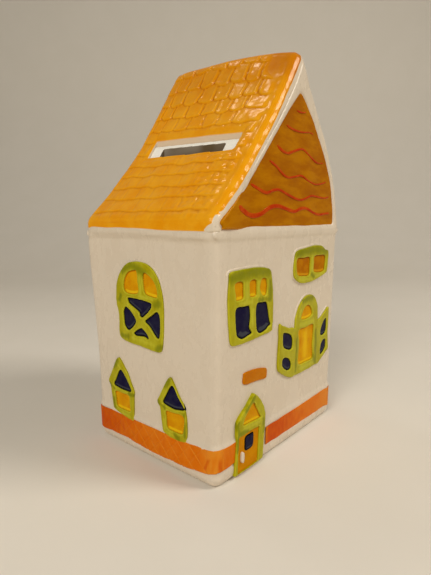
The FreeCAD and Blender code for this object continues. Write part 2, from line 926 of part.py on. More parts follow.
arch_panes = [
    [(pane_left, cross_foot), (pane_right, cross_foot), (arch_middle, cross_middle - bar_up)],
    [(arch_middle, cross_middle + bar_up), (pane_right, cross_head), (pane_left, cross_head)],
    [(glass_left, pane_low), (arch_middle - bar_across, cross_middle), (glass_left, pane_high_end)],
    [(glass_right, pane_low), (glass_right, pane_high_end), (arch_middle + bar_across, cross_middle)],
]
arch_loops = [arch_outline] + arch_fanlights + arch_panes
arched_frame = add_relief("arched_window_frame", LEFT, arch_loops, frame_high)
arched_fanlights = add_relief("arched_window_fanlights", LEFT, arch_fanlights, pane_high)
arched_panes = add_relief("arched_window_panes", LEFT, arch_panes, pane_high)
round_corners(arched_frame, LEFT, size("frame_corner"), arch_outline[:2])


def add_pointed_window(side, skew):
    """A small window with a pointed head: a dark pane in the point over a square light."""
    middle = size(f"pointed_{side}_middle")
    half_box = size("pointed_width") / 2
    half_hood = size("pointed_hood") / 2
    stile = size("pointed_stile")
    apex = middle - size("pointed_skew") * skew
    sill = size("pointed_sill")
    eaves = size("pointed_eaves")
    half_rail = size("pointed_rail") / 2
    outline = [
        (middle - half_box, sill),
        (middle + half_box, sill),
        (middle + half_box, eaves - half_rail),
        (middle + half_hood, eaves),
        (apex, size("pointed_apex")),
        (middle - half_hood, eaves),
        (middle - half_box, eaves - half_rail),
    ]
    pane = [
        (middle - half_box + stile, eaves + half_rail),
        (middle + half_box - stile, eaves + half_rail),
        (apex, size("pointed_apex") - stile - stile),
    ]
    light = rectangle(
        middle - half_box + stile, middle + half_box - stile, sill + size("pointed_foot"), eaves - half_rail
    )
    pointed_high = frame_high + size("plinth_proud") / 2
    frame = add_relief(f"{side}_pointed_frame", LEFT, [outline, pane, light], pointed_high)
    step_over_plinth(frame, LEFT, middle - half_box, middle + half_box, sill)
    return [
        frame,
        add_relief(f"{side}_pointed_light", LEFT, [light], pane_high),
        add_relief(f"{side}_pointed_pane", LEFT, [pane], pane_high),
    ]


left_pointed = add_pointed_window("left", 1)
right_pointed = add_pointed_window("right", 0.5)

# Casement on the front wall: three top lights over two tall panes in a frame that leans a little
casement_outline = [
    (size("casement_left"), size("casement_sill")),
    (size("casement_right"), size("casement_sill")),
    (size("casement_right") - size("casement_lean"), size("casement_head")),
    (size("casement_left"), size("casement_head")),
]
light_left = size("casement_left") + size("casement_stile")
light_head = size("casement_head") - size("casement_lintel")
light_foot = light_head - size("top_light_height")
light_pitch = size("top_light_width") + size("top_light_gap")
top_lights = [
    rectangle(
        light_left + light_pitch * index,
        light_left + light_pitch * index + size("top_light_width"),
        light_foot,
        light_head,
    )
    for index in range(3)
]
pane_head = light_foot - size("casement_transom")
pane_foot = size("casement_sill") + size("casement_foot")
pane_right = size("casement_right") - size("casement_lean")
pane_wide = (pane_right - light_left - size("casement_mullion")) / 2
tall_panes = [
    rectangle(light_left, light_left + pane_wide, pane_foot, pane_head),
    rectangle(pane_right - pane_wide, pane_right, pane_foot, pane_head),
]
casement_frame = add_relief("casement_frame", FRONT, [casement_outline] + top_lights + tall_panes, frame_high)
casement_lights = add_relief("casement_lights", FRONT, top_lights, pane_high)
casement_panes = add_relief("casement_panes", FRONT, tall_panes, pane_high)
round_corners(casement_frame, FRONT, size("frame_corner"), casement_outline[2:])

# Twin window on the front wall: two amber lights in a frame with a bowed head and a boat-shaped foot
twin_outline = [
    (size("twin_left"), size("twin_hip"), Bow(size("twin_foot_rise"))),
    (size("twin_right"), size("twin_hip")),
    (size("twin_right"), size("twin_shoulder"), Bow(size("twin_top_rise"))),
    (size("twin_left"), size("twin_shoulder")),
]
twin_middle = (size("twin_left") + size("twin_right")) / 2
half_mullion = size("twin_mullion") / 2
twin_edges = [
    (size("twin_left") + size("twin_stile"), twin_middle - half_mullion),
    (twin_middle + half_mullion, size("twin_right") - size("twin_stile")),
]
twin_panes = [rectangle(left, right, size("twin_sill"), size("twin_head")) for left, right in twin_edges]
twin_frame = add_relief("twin_window_frame", FRONT, [twin_outline] + twin_panes, frame_high)
twin_lights = add_relief("twin_window_lights", FRONT, twin_panes, pane_high)
round_corners(twin_frame, FRONT, size("shutter_corner"), twin_outline)

# Shuttered window on the front wall: an arched frame with amber lights between two open shutters
bay_left = size("bay_middle") - size("bay_width") / 2
bay_right = size("bay_middle") + size("bay_width") / 2
bay_outline = [
    (bay_left, size("bay_sill")),
    (bay_right, size("bay_sill")),
    (bay_right, size("bay_spring"), Bow(size("bay_width") / 2)),
    (bay_left, size("bay_spring")),
]
half_fan = size("bay_width") / 2 - size("bay_arch_frame")
bay_fan = [
    (size("bay_middle") - half_fan, size("bay_spring")),
    (size("bay_middle") + half_fan, size("bay_spring"), Bow(half_fan)),
]
bay_light = rectangle(
    bay_left + size("bay_stile"),
    bay_right - size("bay_stile"),
    size("bay_sill") + size("bay_foot"),
    size("bay_spring") - size("bay_transom"),
)
bay_frame = add_relief("shuttered_window_frame", FRONT, [bay_outline, bay_fan, bay_light], frame_high)
bay_lights = add_relief("shuttered_window_lights", FRONT, [bay_fan, bay_light], pane_high)


def add_shutter(side, hinge, width, away):
    """An open shutter: a slanting leaf with two dark panes; away is the side it opens to."""
    rise = size("shutter_slant") / width
    foot = size("shutter_foot")
    edge = size("shutter_edge")
    pane_height = (size("shutter_height") - edge * 2 - size("shutter_rail")) / 2

    def leaf(start, stop, low, high):
        near = hinge + start * away
        out = hinge + stop * away
        loop = [
            (near, foot + low + rise * start),
            (out, foot + low + rise * stop),
            (out, foot + high + rise * stop),
            (near, foot + high + rise * start),
        ]
        return loop if away > 0 else [loop[1], loop[0], loop[3], loop[2]]

    outline = leaf(ground, width, ground, size("shutter_height"))
    stile = size("shutter_stile")
    upper_foot = edge + pane_height + size("shutter_rail")
    panes = [
        leaf(stile, width - stile, edge, edge + pane_height),
        leaf(stile, width - stile, upper_foot, upper_foot + pane_height),
    ]
    shutter = add_relief(f"{side}_shutter", FRONT, [outline] + panes, frame_high)
    round_corners(shutter, FRONT, size("shutter_corner"), outline)
    return [shutter, add_relief(f"{side}_shutter_panes", FRONT, panes, pane_high)]


left_shutter = add_shutter("left", bay_left - size("shutter_gap"), size("shutter_left_width"), -1)
right_shutter = add_shutter("right", bay_right + size("shutter_gap"), size("shutter_right_width"), 1)

# Plaque on the front wall: a bare brick-shaped sprig between the casement and the door
plaque_outline = [
    (size("plaque_left"), size("plaque_foot")),
    (size("plaque_right"), size("plaque_foot") + size("plaque_tilt")),
    (size("plaque_right"), size("plaque_foot") + size("plaque_tilt") + size("plaque_height")),
    (size("plaque_left"), size("plaque_foot") + size("plaque_height")),
]
plaque = add_relief("plaque", FRONT, [plaque_outline], pane_high)
round_corners(plaque, FRONT, size("plaque_round"), plaque_outline)

# Door on the front wall: a pointed frame over a leaf that stands on the plinth
door_left = size("door_left")
door_right = size("door_right")
leaf_left = door_left + size("door_jamb_left")
leaf_right = door_right - size("door_jamb_right")
door_middle = (door_left + door_right) / 2
door_foot = size("door_foot")
door_outline = [
    (door_left, door_foot),
    (leaf_left, door_foot),
    (leaf_left, size("leaf_head")),
    (leaf_right, size("leaf_head")),
    (leaf_right, door_foot),
    (door_right, door_foot),
    (door_right, size("door_eaves")),
    (door_middle, size("door_apex")),
    (door_left, size("door_eaves")),
]
fan_sill = size("leaf_head") + size("door_lintel")
door_fan = [
    (door_left + size("fanlight_edge"), fan_sill),
    (door_right - size("fanlight_edge"), fan_sill),
    (door_middle, size("door_apex") - size("fanlight_slope")),
]
door_frame = add_relief("door_frame", FRONT, [door_outline, door_fan], size("door_relief"))
step_over_plinth(door_frame, FRONT, door_left, door_right, door_foot)
add_relief("door_fanlight", FRONT, [door_fan], pane_high)
leaf_back = size("plinth_proud") + gap
door_leaf = [rectangle(leaf_left + gap, leaf_right - gap, door_foot, size("leaf_head") - gap)]
add_relief("door_leaf", FRONT, door_leaf, size("leaf_relief") - leaf_back, leaf_back)
window_left = leaf_left + size("door_window_inset")
door_window = rectangle(
    window_left,
    window_left + size("door_window_width"),
    size("door_window_foot"),
    size("door_window_foot") + size("door_window_height"),
)
add_relief("door_window", FRONT, [door_window], size("door_window_relief"), size("leaf_relief"))
handle_left = leaf_left + size("handle_inset")
handle = rectangle(
    handle_left,
    handle_left + size("handle_width"),
    size("handle_foot"),
    size("handle_foot") + size("handle_height"),
)
add_relief("door_handle", FRONT, [handle], size("handle_relief"), size("leaf_relief"))

# Plinth band: an orange strip round the plinth, broken by the door
band = add_body("plinth_band")
band_foot = size("band_foot") * stretch_up
band_head = size("band_head") * stretch_up
band_out = proud + size("band_relief")
wall_loft(band, "AdditiveLoft", "outside", [(band_foot, band_out), (band_head, band_out)])
wall_loft(band, "SubtractiveLoft", "inside", [(band_foot, proud + gap), (band_head, proud + gap)])
doorway_left = door_left * FRONT.stretch_across - gap
doorway_right = door_right * FRONT.stretch_across + gap
doorway_loop = rectangle(doorway_left, doorway_right, band_foot - 1, band_head + 1)
doorway = add_sketch(band, "XZ_Plane", "doorway", [doorway_loop])
add_pocket(band, "doorway_cut", doorway, half_depth + size("house_depth"), True)
band_lean = size("width_inset") * (wall_top - band_head) / wall_top
lattice_reach = half_width - band_lean + proud + size("band_relief")
lattice_edge = half_depth - size("depth_inset") - size("corner_radius")


def lattice_strips(slant):
    """Slanting strips across the band on an eave wall; slant is the way they lean along the house."""
    rise = band_head - band_foot
    count = int((lattice_edge.number * 2 - rise.number) / number("lattice_pitch"))
    strips = []
    for index in range(count + 1):
        foot = (size("lattice_pitch") * index - lattice_edge) * slant
        head = foot + rise * slant
        wide = size("lattice_width")
        strip = [(foot, band_foot), (foot + wide, band_foot), (head + wide, band_head), (head, band_head)]
        strips.append(strip)
    return strips


for side, reach, inwards in (("left", -lattice_reach, True), ("right", lattice_reach, False)):
    for slope, slant in (("up", 1), ("down", -1)):
        strips = add_sketch(band, "YZ_Plane", f"{side}_{slope}", lattice_strips(slant), reach)
        add_pocket(band, f"{side}_{slope}_grooves", strips, size("lattice_depth"), inwards)

doc.recompute()

# The rear and right walls repeat the windows of the front and left walls, without door and plaque
HALF_TURN = Placement(Vector(0, 0, 0), Rotation(Vector(0, 0, 1), 180))


def add_turned(label, bodies):
    """The same pieces on the opposite wall."""
    add_group(label, [solid for body in bodies for solid in body.Shape.Solids], HALF_TURN)


add_turned("rear_window_frames", [casement_frame, twin_frame, bay_frame, left_shutter[0], right_shutter[0]])
add_turned("rear_window_lights", [casement_lights, twin_lights, bay_lights])
add_turned("rear_window_panes", [casement_panes, left_shutter[1], right_shutter[1]])
add_turned("right_window_frames", [arched_frame, left_pointed[0], right_pointed[0]])
add_turned("right_window_lights", [arched_fanlights, left_pointed[1], right_pointed[1]])
add_turned("right_window_panes", [arched_panes, left_pointed[2], right_pointed[2]])

doc.recompute()
for item in doc.Objects:
    if "Invalid" in item.State or "Error" in item.State:
        raise ValueError(f"{item.Label} failed: {item.State}")
nodes = [item for item in doc.Objects if item.TypeId in ("PartDesign::Body", "Part::Feature")]
for node in nodes:
    if node.Shape.isNull() or not node.Shape.isValid():
        raise ValueError(f"{node.Label} has no valid shape")
os.makedirs("parts", exist_ok=True)
for node in nodes:
    node.Shape.exportStep(f"parts/{node.Label}.step")
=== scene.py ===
import math

import bmesh
import bpy
import numpy as np
from mathutils import Matrix, Vector, noise


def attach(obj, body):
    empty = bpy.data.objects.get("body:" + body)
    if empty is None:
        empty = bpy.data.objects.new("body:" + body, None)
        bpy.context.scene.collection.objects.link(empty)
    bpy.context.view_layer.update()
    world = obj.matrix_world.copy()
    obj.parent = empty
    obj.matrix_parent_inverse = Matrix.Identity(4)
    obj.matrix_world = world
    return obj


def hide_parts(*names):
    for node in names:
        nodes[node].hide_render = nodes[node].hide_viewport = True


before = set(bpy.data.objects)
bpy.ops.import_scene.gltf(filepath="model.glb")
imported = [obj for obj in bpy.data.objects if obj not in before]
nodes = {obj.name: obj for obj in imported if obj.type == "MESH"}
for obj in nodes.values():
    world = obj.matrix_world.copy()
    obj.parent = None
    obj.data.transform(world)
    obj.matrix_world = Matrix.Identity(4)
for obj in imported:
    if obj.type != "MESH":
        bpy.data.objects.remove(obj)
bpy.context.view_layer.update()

MM = 0.001

# Walls and gables: one hollow slip-cast shell of earthenware with soft corners, a plinth and a rounded foot,
# under a white glaze. A rim stands round each gable where the roof ends, and a lip runs along each eave.
# Slip and glaze have filled every sharp edge.


def tone(red, green, blue):
    """A colour as a screen shows it, turned into what the shaders want."""
    shares = [part / 255 for part in (red, green, blue)]
    return [share / 12.92 if share < 0.04 else ((share + 0.055) / 1.055) ** 2.4 for share in shares] + [1]


def between(before, start, end, after, t):
    """A point on the smooth curve from start to end, t of the way along it."""
    bend = 2 * before - 5 * start + 4 * end - after
    twist = 3 * start - before - 3 * end + after
    return 0.5 * (2 * start + (end - before) * t + bend * t**2 + twist * t**3)


def spline(points, steps=6):
    """A closed smooth line through a few points, as flat coordinates."""
    ring = [Vector(point) for point in points]
    line = []
    for index in range(len(ring)):
        near = [ring[(index + offset) % len(ring)] for offset in (-1, 0, 1, 2)]
        line += [between(*near, part / steps) for part in range(steps)]
    return line


def slab(rings, low, high, place):
    """A plate with holes; rings are outlines in mm, low and high its faces, place carries it to its wall."""
    curve = bpy.data.curves.new("slab", "CURVE")
    curve.dimensions = "2D"
    curve.fill_mode = "BOTH"
    curve.extrude = (high - low) / 2 * MM
    for ring in rings:
        part = curve.splines.new("POLY")
        part.points.add(len(ring) - 1)
        for point, spot in zip(part.points, ring):
            point.co = (spot[0] * MM, spot[1] * MM, 0, 1)
        part.use_cyclic_u = True
    item = bpy.data.objects.new("slab", curve)
    mesh = bpy.data.meshes.new_from_object(item)
    bpy.data.objects.remove(item)
    middle = (low + high) / 2
    for vertex in mesh.vertices:
        x, y, z = (part / MM for part in vertex.co)
        vertex.co = Vector(place(x, y, z + middle)) * MM
    return mesh


def bake(piece):
    """Keep the shape that the modifiers give, and drop them."""
    shaped = piece.evaluated_get(bpy.context.evaluated_depsgraph_get())
    piece.data = bpy.data.meshes.new_from_object(shaped)
    piece.modifiers.clear()


def cast(name, meshes, grain, soften, wave=0, wave_length=9):
    """Join solids into one soft-edged lump of clay; grain, wave and wave_length are in mm."""
    lump = bmesh.new()
    for mesh in meshes:
        lump.from_mesh(mesh)
    joined = bpy.data.meshes.new(name)
    lump.to_mesh(joined)
    lump.free()
    piece = bpy.data.objects.new(name, joined)
    bpy.context.scene.collection.objects.link(piece)
    remesh = piece.modifiers.new("clay", "REMESH")
    remesh.mode = "VOXEL"
    remesh.voxel_size = grain * MM
    smooth = piece.modifiers.new("soft", "SMOOTH")
    smooth.factor = 0.5
    smooth.iterations = soften
    bake(piece)
    if wave:
        spots = spots_of(piece)
        bend = [noise.noise_vector(Vector(spot) / wave_length) for spot in spots]
        move(piece, spots + np.array(bend) * wave)
    piece.data.materials.clear()
    return piece


def spots_of(piece, kind="co"):
    """Corner places in mm, or corner normals, as rows of three."""
    flat = np.empty(len(piece.data.vertices) * 3, np.float32)
    piece.data.vertices.foreach_get(kind, flat)
    return flat.reshape(-1, 3) / (MM if kind == "co" else 1)


def move(piece, spots):
    """Put the corners of a piece at new places, in mm."""
    piece.data.vertices.foreach_set("co", (spots * MM).astype(np.float32).ravel())
    piece.data.update()


def mark(piece, name, values):
    """Keep a value for each corner; a second mark of the same name is laid over the first."""
    values = np.asarray(values, np.float32)
    layer = piece.data.attributes.get(name)
    if layer:
        before = np.empty_like(values)
        layer.data.foreach_get("value", before)
        values = np.maximum(before, values)
    else:
        layer = piece.data.attributes.new(name, "FLOAT", "POINT")
    layer.data.foreach_set("value", values)


def finish_piece(piece, material, parts, body="house"):
    """Mark how far each corner stands out of its surroundings, then glaze the piece and give it its place."""
    smooth = piece.modifiers.new("flat", "SMOOTH")
    smooth.factor = 0.5
    smooth.iterations = 24
    bpy.context.view_layer.update()
    flat = piece.evaluated_get(bpy.context.evaluated_depsgraph_get()).data
    low = np.empty(len(piece.data.vertices) * 3, np.float32)
    flat.vertices.foreach_get("co", low)
    height = ((spots_of(piece) - low.reshape(-1, 3) / MM) * spots_of(piece, "normal")).sum(1)
    piece.modifiers.clear()
    mark(piece, "relief", height)
    piece.data.polygons.foreach_set("use_smooth", np.ones(len(piece.data.polygons), bool))
    piece.data.materials.append(material)
    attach(piece, body)
    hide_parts(*parts)


def step(value, low, high):
    """Nought below low, one above high and a smooth rise between them."""
    t = np.clip((value - low) / (high - low), 0, 1)
    return t * t * (3 - 2 * t)


def glaze(
    name, body, thin, pooled, patch=6, stretch=(1, 1, 1), share=0.5, broken=4, edge=0.3, crest=0.3,
    dimple=0.06, gloss=0.2, mirror=0.2, tint=(1, 1, 1),
):
    """A glossy glaze: brushed patches of two tones, thin on raised edges and pooled darker in hollows.

    The marks "pale" and "brush" on a mesh say where more was wiped off or laid on, and some "pale" marks are
    painted highlights. Patch, edge and crest are in mm.
    """
    material = bpy.data.materials.new(name)
    material.use_nodes = True
    tree = material.node_tree
    shader = tree.nodes["Principled BSDF"]

    def reading(mark_name):
        node = tree.nodes.new("ShaderNodeAttribute")
        node.attribute_name = mark_name
        return node.outputs["Fac"]

    def ramp(value, low, high, top=1.0, kind="LINEAR"):
        node = tree.nodes.new("ShaderNodeMapRange")
        node.interpolation_type = kind
        node.inputs["From Min"].default_value = low
        node.inputs["From Max"].default_value = high
        node.inputs["To Max"].default_value = top
        tree.links.new(value, node.inputs["Value"])
        return node.outputs["Result"]

    def larger(first, second):
        node = tree.nodes.new("ShaderNodeMath")
        node.operation = "MAXIMUM"
        tree.links.new(first, node.inputs[0])
        tree.links.new(second, node.inputs[1])
        return node.outputs["Value"]

    def over(under, colour, amount):
        node = tree.nodes.new("ShaderNodeMix")
        node.data_type = "RGBA"
        tree.links.new(under, node.inputs["A"])
        node.inputs["B"].default_value = tone(*colour)
        tree.links.new(amount, node.inputs["Factor"])
        return node.outputs["Result"]

    place = tree.nodes.new("ShaderNodeTexCoord")
    fit = tree.nodes.new("ShaderNodeMapping")
    fit.inputs["Scale"].default_value = [side / (patch * MM) for side in stretch]
    tree.links.new(place.outputs["Object"], fit.inputs["Vector"])
    strokes = tree.nodes.new("ShaderNodeTexNoise")
    strokes.inputs["Scale"].default_value = 1
    strokes.inputs["Detail"].default_value = broken
    strokes.inputs["Roughness"].default_value = 0.6
    tree.links.new(fit.outputs["Vector"], strokes.inputs["Vector"])
    ground = tree.nodes.new("ShaderNodeMix")
    ground.data_type = "RGBA"
    ground.inputs["A"].default_value = tone(*body)
    ground.inputs["B"].default_value = tone(*thin)
    patches = ramp(strokes.outputs["Fac"], 0.3, 0.7, share, "SMOOTHERSTEP")
    tree.links.new(patches, ground.inputs["Factor"])
    crests = larger(ramp(reading("relief"), 0.04, crest), reading("pale"))
    worn = over(ground.outputs["Result"], thin, crests)
    hollows = larger(ramp(reading("relief"), -0.02, -edge), reading("brush"))
    tree.links.new(over(worn, pooled, hollows), shader.inputs["Base Color"])
    tree.links.new(ramp(strokes.outputs["Fac"], -0.7, 1.0, gloss * 1.5), shader.inputs["Roughness"])
    skin = tree.nodes.new("ShaderNodeTexNoise")
    skin.inputs["Scale"].default_value = 420
    skin.inputs["Detail"].default_value = 2
    tree.links.new(place.outputs["Object"], skin.inputs["Vector"])
    bump = tree.nodes.new("ShaderNodeBump")
    bump.inputs["Strength"].default_value = dimple
    bump.inputs["Distance"].default_value = 0.6 * MM
    tree.links.new(skin.outputs["Fac"], bump.inputs["Height"])
    tree.links.new(bump.outputs["Normal"], shader.inputs["Normal"])
    shader.inputs["Specular IOR Level"].default_value = mirror
    shader.inputs["Specular Tint"].default_value = [*tint, 1]
    return material


EAVE = 100
GABLE_FACE = 39.2
FRONT_RISE = 74.5
REAR_RISE = 80.5
LEAN_HEIGHTS = [100, 107, 118, 128, 140, 160, 182]
LEAN = [0, 0, 2.4, 4.4, 5.2, 5.2, 5.2]
SLIM_HEIGHTS = [118, 135, 150, 162, 172, 177]
SLIM = [0, 1.4, 2.8, 2.8, 1.4, 0]


def sway(piece):
    """Above the eaves the rear end leans forward and the right side is drawn in, which makes it crooked."""
    spots = spots_of(piece)
    spots[:, 1] -= np.interp(spots[:, 2], LEAN_HEIGHTS, LEAN) * step(spots[:, 1], 18, 39)
    spots[:, 0] -= np.interp(spots[:, 2], SLIM_HEIGHTS, SLIM) * step(spots[:, 0], 9, 20)
    spots[:, 2] = np.maximum(spots[:, 2], 0)
    move(piece, spots)


def gable_face(side):
    """Carries a gable outline, drawn as seen from the front, to the front or the higher rear gable."""
    steep = 1 if side < 0 else REAR_RISE / FRONT_RISE
    return lambda x, z, out: (x, side * (GABLE_FACE + out), EAVE + (z - EAVE) * steep)


def level(x, y, z):
    """Leaves a slab lying flat, as it was drawn."""
    return x, y, z


RIM = [
    (-48.0, 99.0), (-48.2, 103.7), (-43.8, 108.6), (-37.8, 113.3), (-31.4, 118.7), (-26.0, 124.6),
    (-20.4, 131.0), (-15.2, 137.1), (-9.8, 143.3), (-4.9, 149.7), (0.0, 156.3), (3.0, 160.7), (5.7, 165.1),
    (8.4, 170.4), (13.0, 167.2), (20.5, 159.6), (27.5, 150.4), (34.0, 139.5), (39.6, 127.5), (43.6, 116.0),
    (46.4, 103.5), (46.6, 99.0),
]
FIELD = [
    (-46.0, 99.8), (-48.4, 101.4), (-48.6, 103.0), (-43.2, 107.4), (-37.2, 111.8), (-27.4, 120.7),
    (-19.6, 129.5), (-10.0, 140.0), (0.0, 150.8), (7.6, 158.2), (8.8, 158.2), (16.6, 154.2), (24.0, 148.4),
    (30.6, 140.8), (36.2, 130.8), (40.0, 120.5), (42.5, 110.0), (43.0, 103.0), (42.4, 101.2),
]
EAVE_RING = [
    (47.8, 33.0), (47.8, -33.0), (47.2, -37.6), (43.0, -39.3), (-43.0, -39.3), (-47.2, -37.8),
    (-48.2, -33.0), (-48.2, 33.0), (-46.6, 37.6), (-43.0, 39.0), (43.0, 39.0), (47.2, 37.6),
]
INSIDE = [(43.5, 34.5), (43.5, -34.5), (-43.5, -34.5), (-43.5, 34.5)]
CHEEK = [(49.0, 34.0), (49.0, 36.4), (47.8, 38.4), (45.4, 39.2), (42.0, 39.2), (42.0, 34.0)]
LIP_STEPS = ((48.6, 97.2, 103.8), (49.4, 98.4, 101.8), (50.1, 99.4, 101.3))
LIP_BACK = 43.5
LIP_DIP = 1.2
WALL_PARTS = ["wall_shell", "front_gable", "rear_gable"]

white = glaze(
    "white_glaze", body=(222, 207, 185), thin=(229, 216, 196), pooled=(214, 197, 172),
    patch=7, stretch=(1, 1, 0.6), share=0.35, broken=5, edge=2.5, crest=2.5, gloss=0.26, mirror=0.4,
)
shells = [nodes[part].data for part in WALL_PARTS]
for side in (-1, 1):
    shells.append(slab([RIM, FIELD], -1.5, 0.2, gable_face(side)))
shells.append(slab([spline(EAVE_RING), INSIDE], EAVE - 2, EAVE, level))
for side in (-1, 1):
    for reach, foot, head in LIP_STEPS:
        ends = [(reach - 4.5, 38.9), (reach - 1.6, 38.0), (reach - 0.4, 36.0)]
        face = [(reach, -33.6 + 0.8 * count) for count in range(85)]
        back = [(LIP_BACK, 38.4 - 0.8 * count) for count in range(97)]
        ring = [(x, -y) for x, y in ends] + face + ends[::-1] + back
        lip = [(x * side, y) for x, y in ring]
        shells.append(slab([lip], foot, head, lambda x, y, z: (x, y, z - LIP_DIP * step(-y, -10, 36))))
for side, end in ((-1, -1), (-1, 1), (1, -1), (1, 1)):
    corner = [(side * x, end * y) for x, y in spline(CHEEK)]
    shells.append(slab([corner], 97.2, 101.8, level))
CLAY_SEED = 5
noise.seed_set(CLAY_SEED)
walls = cast("walls", shells, grain=0.7, soften=6, wave=0.3, wave_length=26)

# The plain middles of the walls are sponged flat.
across, along, up = spots_of(walls).T
plain = (up > 18) & (up < 94) & ((np.abs(across) < 43) | (np.abs(along) < 33))
walls.vertex_groups.new(name="plain").add(np.flatnonzero(plain).tolist(), 1.0, "REPLACE")
smooth = walls.modifiers.new("plain", "SMOOTH")
smooth.iterations = 60
smooth.vertex_group = "plain"
bake(walls)

# They are pressed in a little where the band is laid on, and the rear left corner swells.
PRESS = 0.4
SWELL = np.array([-0.8, 1.4, 0])
spots = spots_of(walls)
up = spots[:, 2]
eave_walls = np.abs(spots[:, 0]) > 44
press_foot = np.where(eave_walls, 3.8, 5.8)
press_head = np.where(eave_walls, 15.0, 14.0)
press = step(up, press_foot, press_foot + 0.8) * (1 - step(up, press_head, press_head + 0.8))
spots = spots - PRESS * press[:, None] * spots_of(walls, "normal")
across, along, up = spots.T
swell = step(up, 35, 100) * (1 - 0.8 * step(up, 95, 99))
swell = swell * step(along, 26, 39) * step(-across, 36, 48)
move(walls, spots + swell[:, None] * SWELL)
sway(walls)
finish_piece(walls, white, WALL_PARTS)

# Base plate: the flat clay floor of the box, cast apart and luted in above the foot with slip before firing.
# It is left bare underneath, so the matt body of the earthenware shows round the stopper hole.
clay = glaze(
    "bare_clay", body=(214, 203, 184), thin=(226, 216, 198), pooled=(190, 176, 152),
    patch=8, gloss=0.75, dimple=0.2,
)
nodes["base_plate"].data.materials.clear()
nodes["base_plate"].data.materials.append(clay)

# Stopper: a plug moulded in one piece from soft pale rubber, pressed into the hole in the base.
# A bar across its sunk face gives the fingers something to pull it out by.
rubber = glaze(
    "soft_rubber", body=(222, 218, 206), thin=(230, 226, 216), pooled=(196, 190, 176),
    patch=12, gloss=0.6,
)
stopper = cast("stopper_plug", [nodes["stopper"].data], grain=0.4, soften=2)
finish_piece(stopper, rubber, ["stopper"], body="plug")

# Roof: one cast shell with two unlike slopes, hollow on the left and swelling on the right, luted to the
# gables. Rows of tiles are pressed into it, deep near the ridge and faint below. Amber glaze is brushed over
# them and round the verges, and stops at the white gable rims.
RIDGE_FRONT = 174.5
RIDGE_CLIMB = 6
RIDGE_SOFT = 2.2
SLOPE_START = 6.3
SLOPE_LENGTH = 83.5
roof = cast("roof", [nodes["roof_shell"].data], grain=0.45, soften=3)
spots = spots_of(roof)
normals = spots_of(roof, "normal")
across, along, up = spots.T
facing_x, facing_y, facing_z = normals.T
ridge = RIDGE_FRONT + RIDGE_CLIMB * (along + GABLE_FACE) / (2 * GABLE_FACE)


def on_slope(foot, head_x, rise):
    """How far up a slope a corner lies (mm from the eave) and how deep under its face."""
    run = head_x - foot[0]
    climb = ridge - RIDGE_SOFT - foot[1]
    length = np.hypot(run, climb)
    share = ((across - foot[0]) * run + (up - foot[1]) * climb) / length**2
    outward = np.sign(run) * (-(across - foot[0]) * climb + (up - foot[1]) * run) / length
    bulge = rise * 4 * share * (1 - share)
    return SLOPE_START + share * SLOPE_LENGTH, bulge - outward


left_up, left_deep = on_slope((-47.4, 107.2), 4, -2.4)
right_up, right_deep = on_slope((48.6, 101.5), 12, 6.5)
TILE = 8.6
ROWS = [0, 7.5, 14.5, 20.8, 27.5, 33.5, 40.5, 48.0, 54.5, 62.0, 69.5, 78.0, 87.0, 97.0]
JOINTS = {
    54.5: [-33, -24, -15, -6.5, 3, 11, 20],
    62.0: [-31, -21, -12, -2, 7, 15, 23.5],
    69.5: [-28, -17, -7.5, 2, 11, 19, 27],
    78.0: [-28, -19, -10.5, -1, 8, 17, 25],
    87.0: [-29, -18, -7, 2.5, 12, 21],
}


def tiles(place, height, seed):
    """Height of the tile relief: deep round tiles near the ridge, faint wavy courses below them."""
    rise = np.zeros_like(place)
    wander = np.array([noise.noise(Vector((a / 7, b / 9, seed))) for a, b in zip(place, height)])
    ripple = np.array([noise.noise(Vector((a / 2.4, b / 2.0, seed + 5))) for a, b in zip(place, height)])
    bend = place + wander
    for row, (foot, head) in enumerate(zip(ROWS, ROWS[1:])):
        bold = float(step(np.array(foot), 44.0, 74.0)) * 0.8 + 0.06
        shift = TILE / 2 * (row % 2)
        stray = [2.8 * noise.noise(Vector((row, count, 4))) for count in range(10)]
        loose = [TILE * (count - 4.5) + stray[count] + shift for count in range(10)]
        joints = JOINTS.get(foot, loose)
        gap = np.min([np.abs(bend - joint) for joint in joints], axis=0)
        cell = np.clip(1 - gap / 4.6, 0, 1)
        tilts = [noise.noise(Vector((count * 1.7, row * 2.3, seed))) for count in range(len(joints) + 1)]
        tilt = np.array(tilts)[np.searchsorted(joints, bend)]
        edge = foot + wander + tilt * bold * 0.9 + bold * 2.6 * cell**4
        share = (height - edge) / (head - foot)
        inside = step(height, edge - 0.3, edge + 0.4) * (1 - step(height, head + 1.4, head + 2.8))
        lift = (0.46 + 0.28 * bold) * np.clip(1 - share, 0, 1) + 0.08 + bold * 0.22 * tilt
        groove = step(-gap, -0.9, -0.1) * (0.06 + 0.6 * bold) * step(-share, -1.0, -0.75)
        lip = step(-np.abs(gap - 1.3), -0.7, -0.1) * bold * 0.16
        rise = np.maximum(rise, inside * (lift + lip - groove))
    crinkle = 0.06 + 0.17 * step(place, 6, 24) * (1 - step(height, 36, 56))
    return (rise + ripple * crinkle + wander * 0.16) * (1 - step(height, 86, 94))


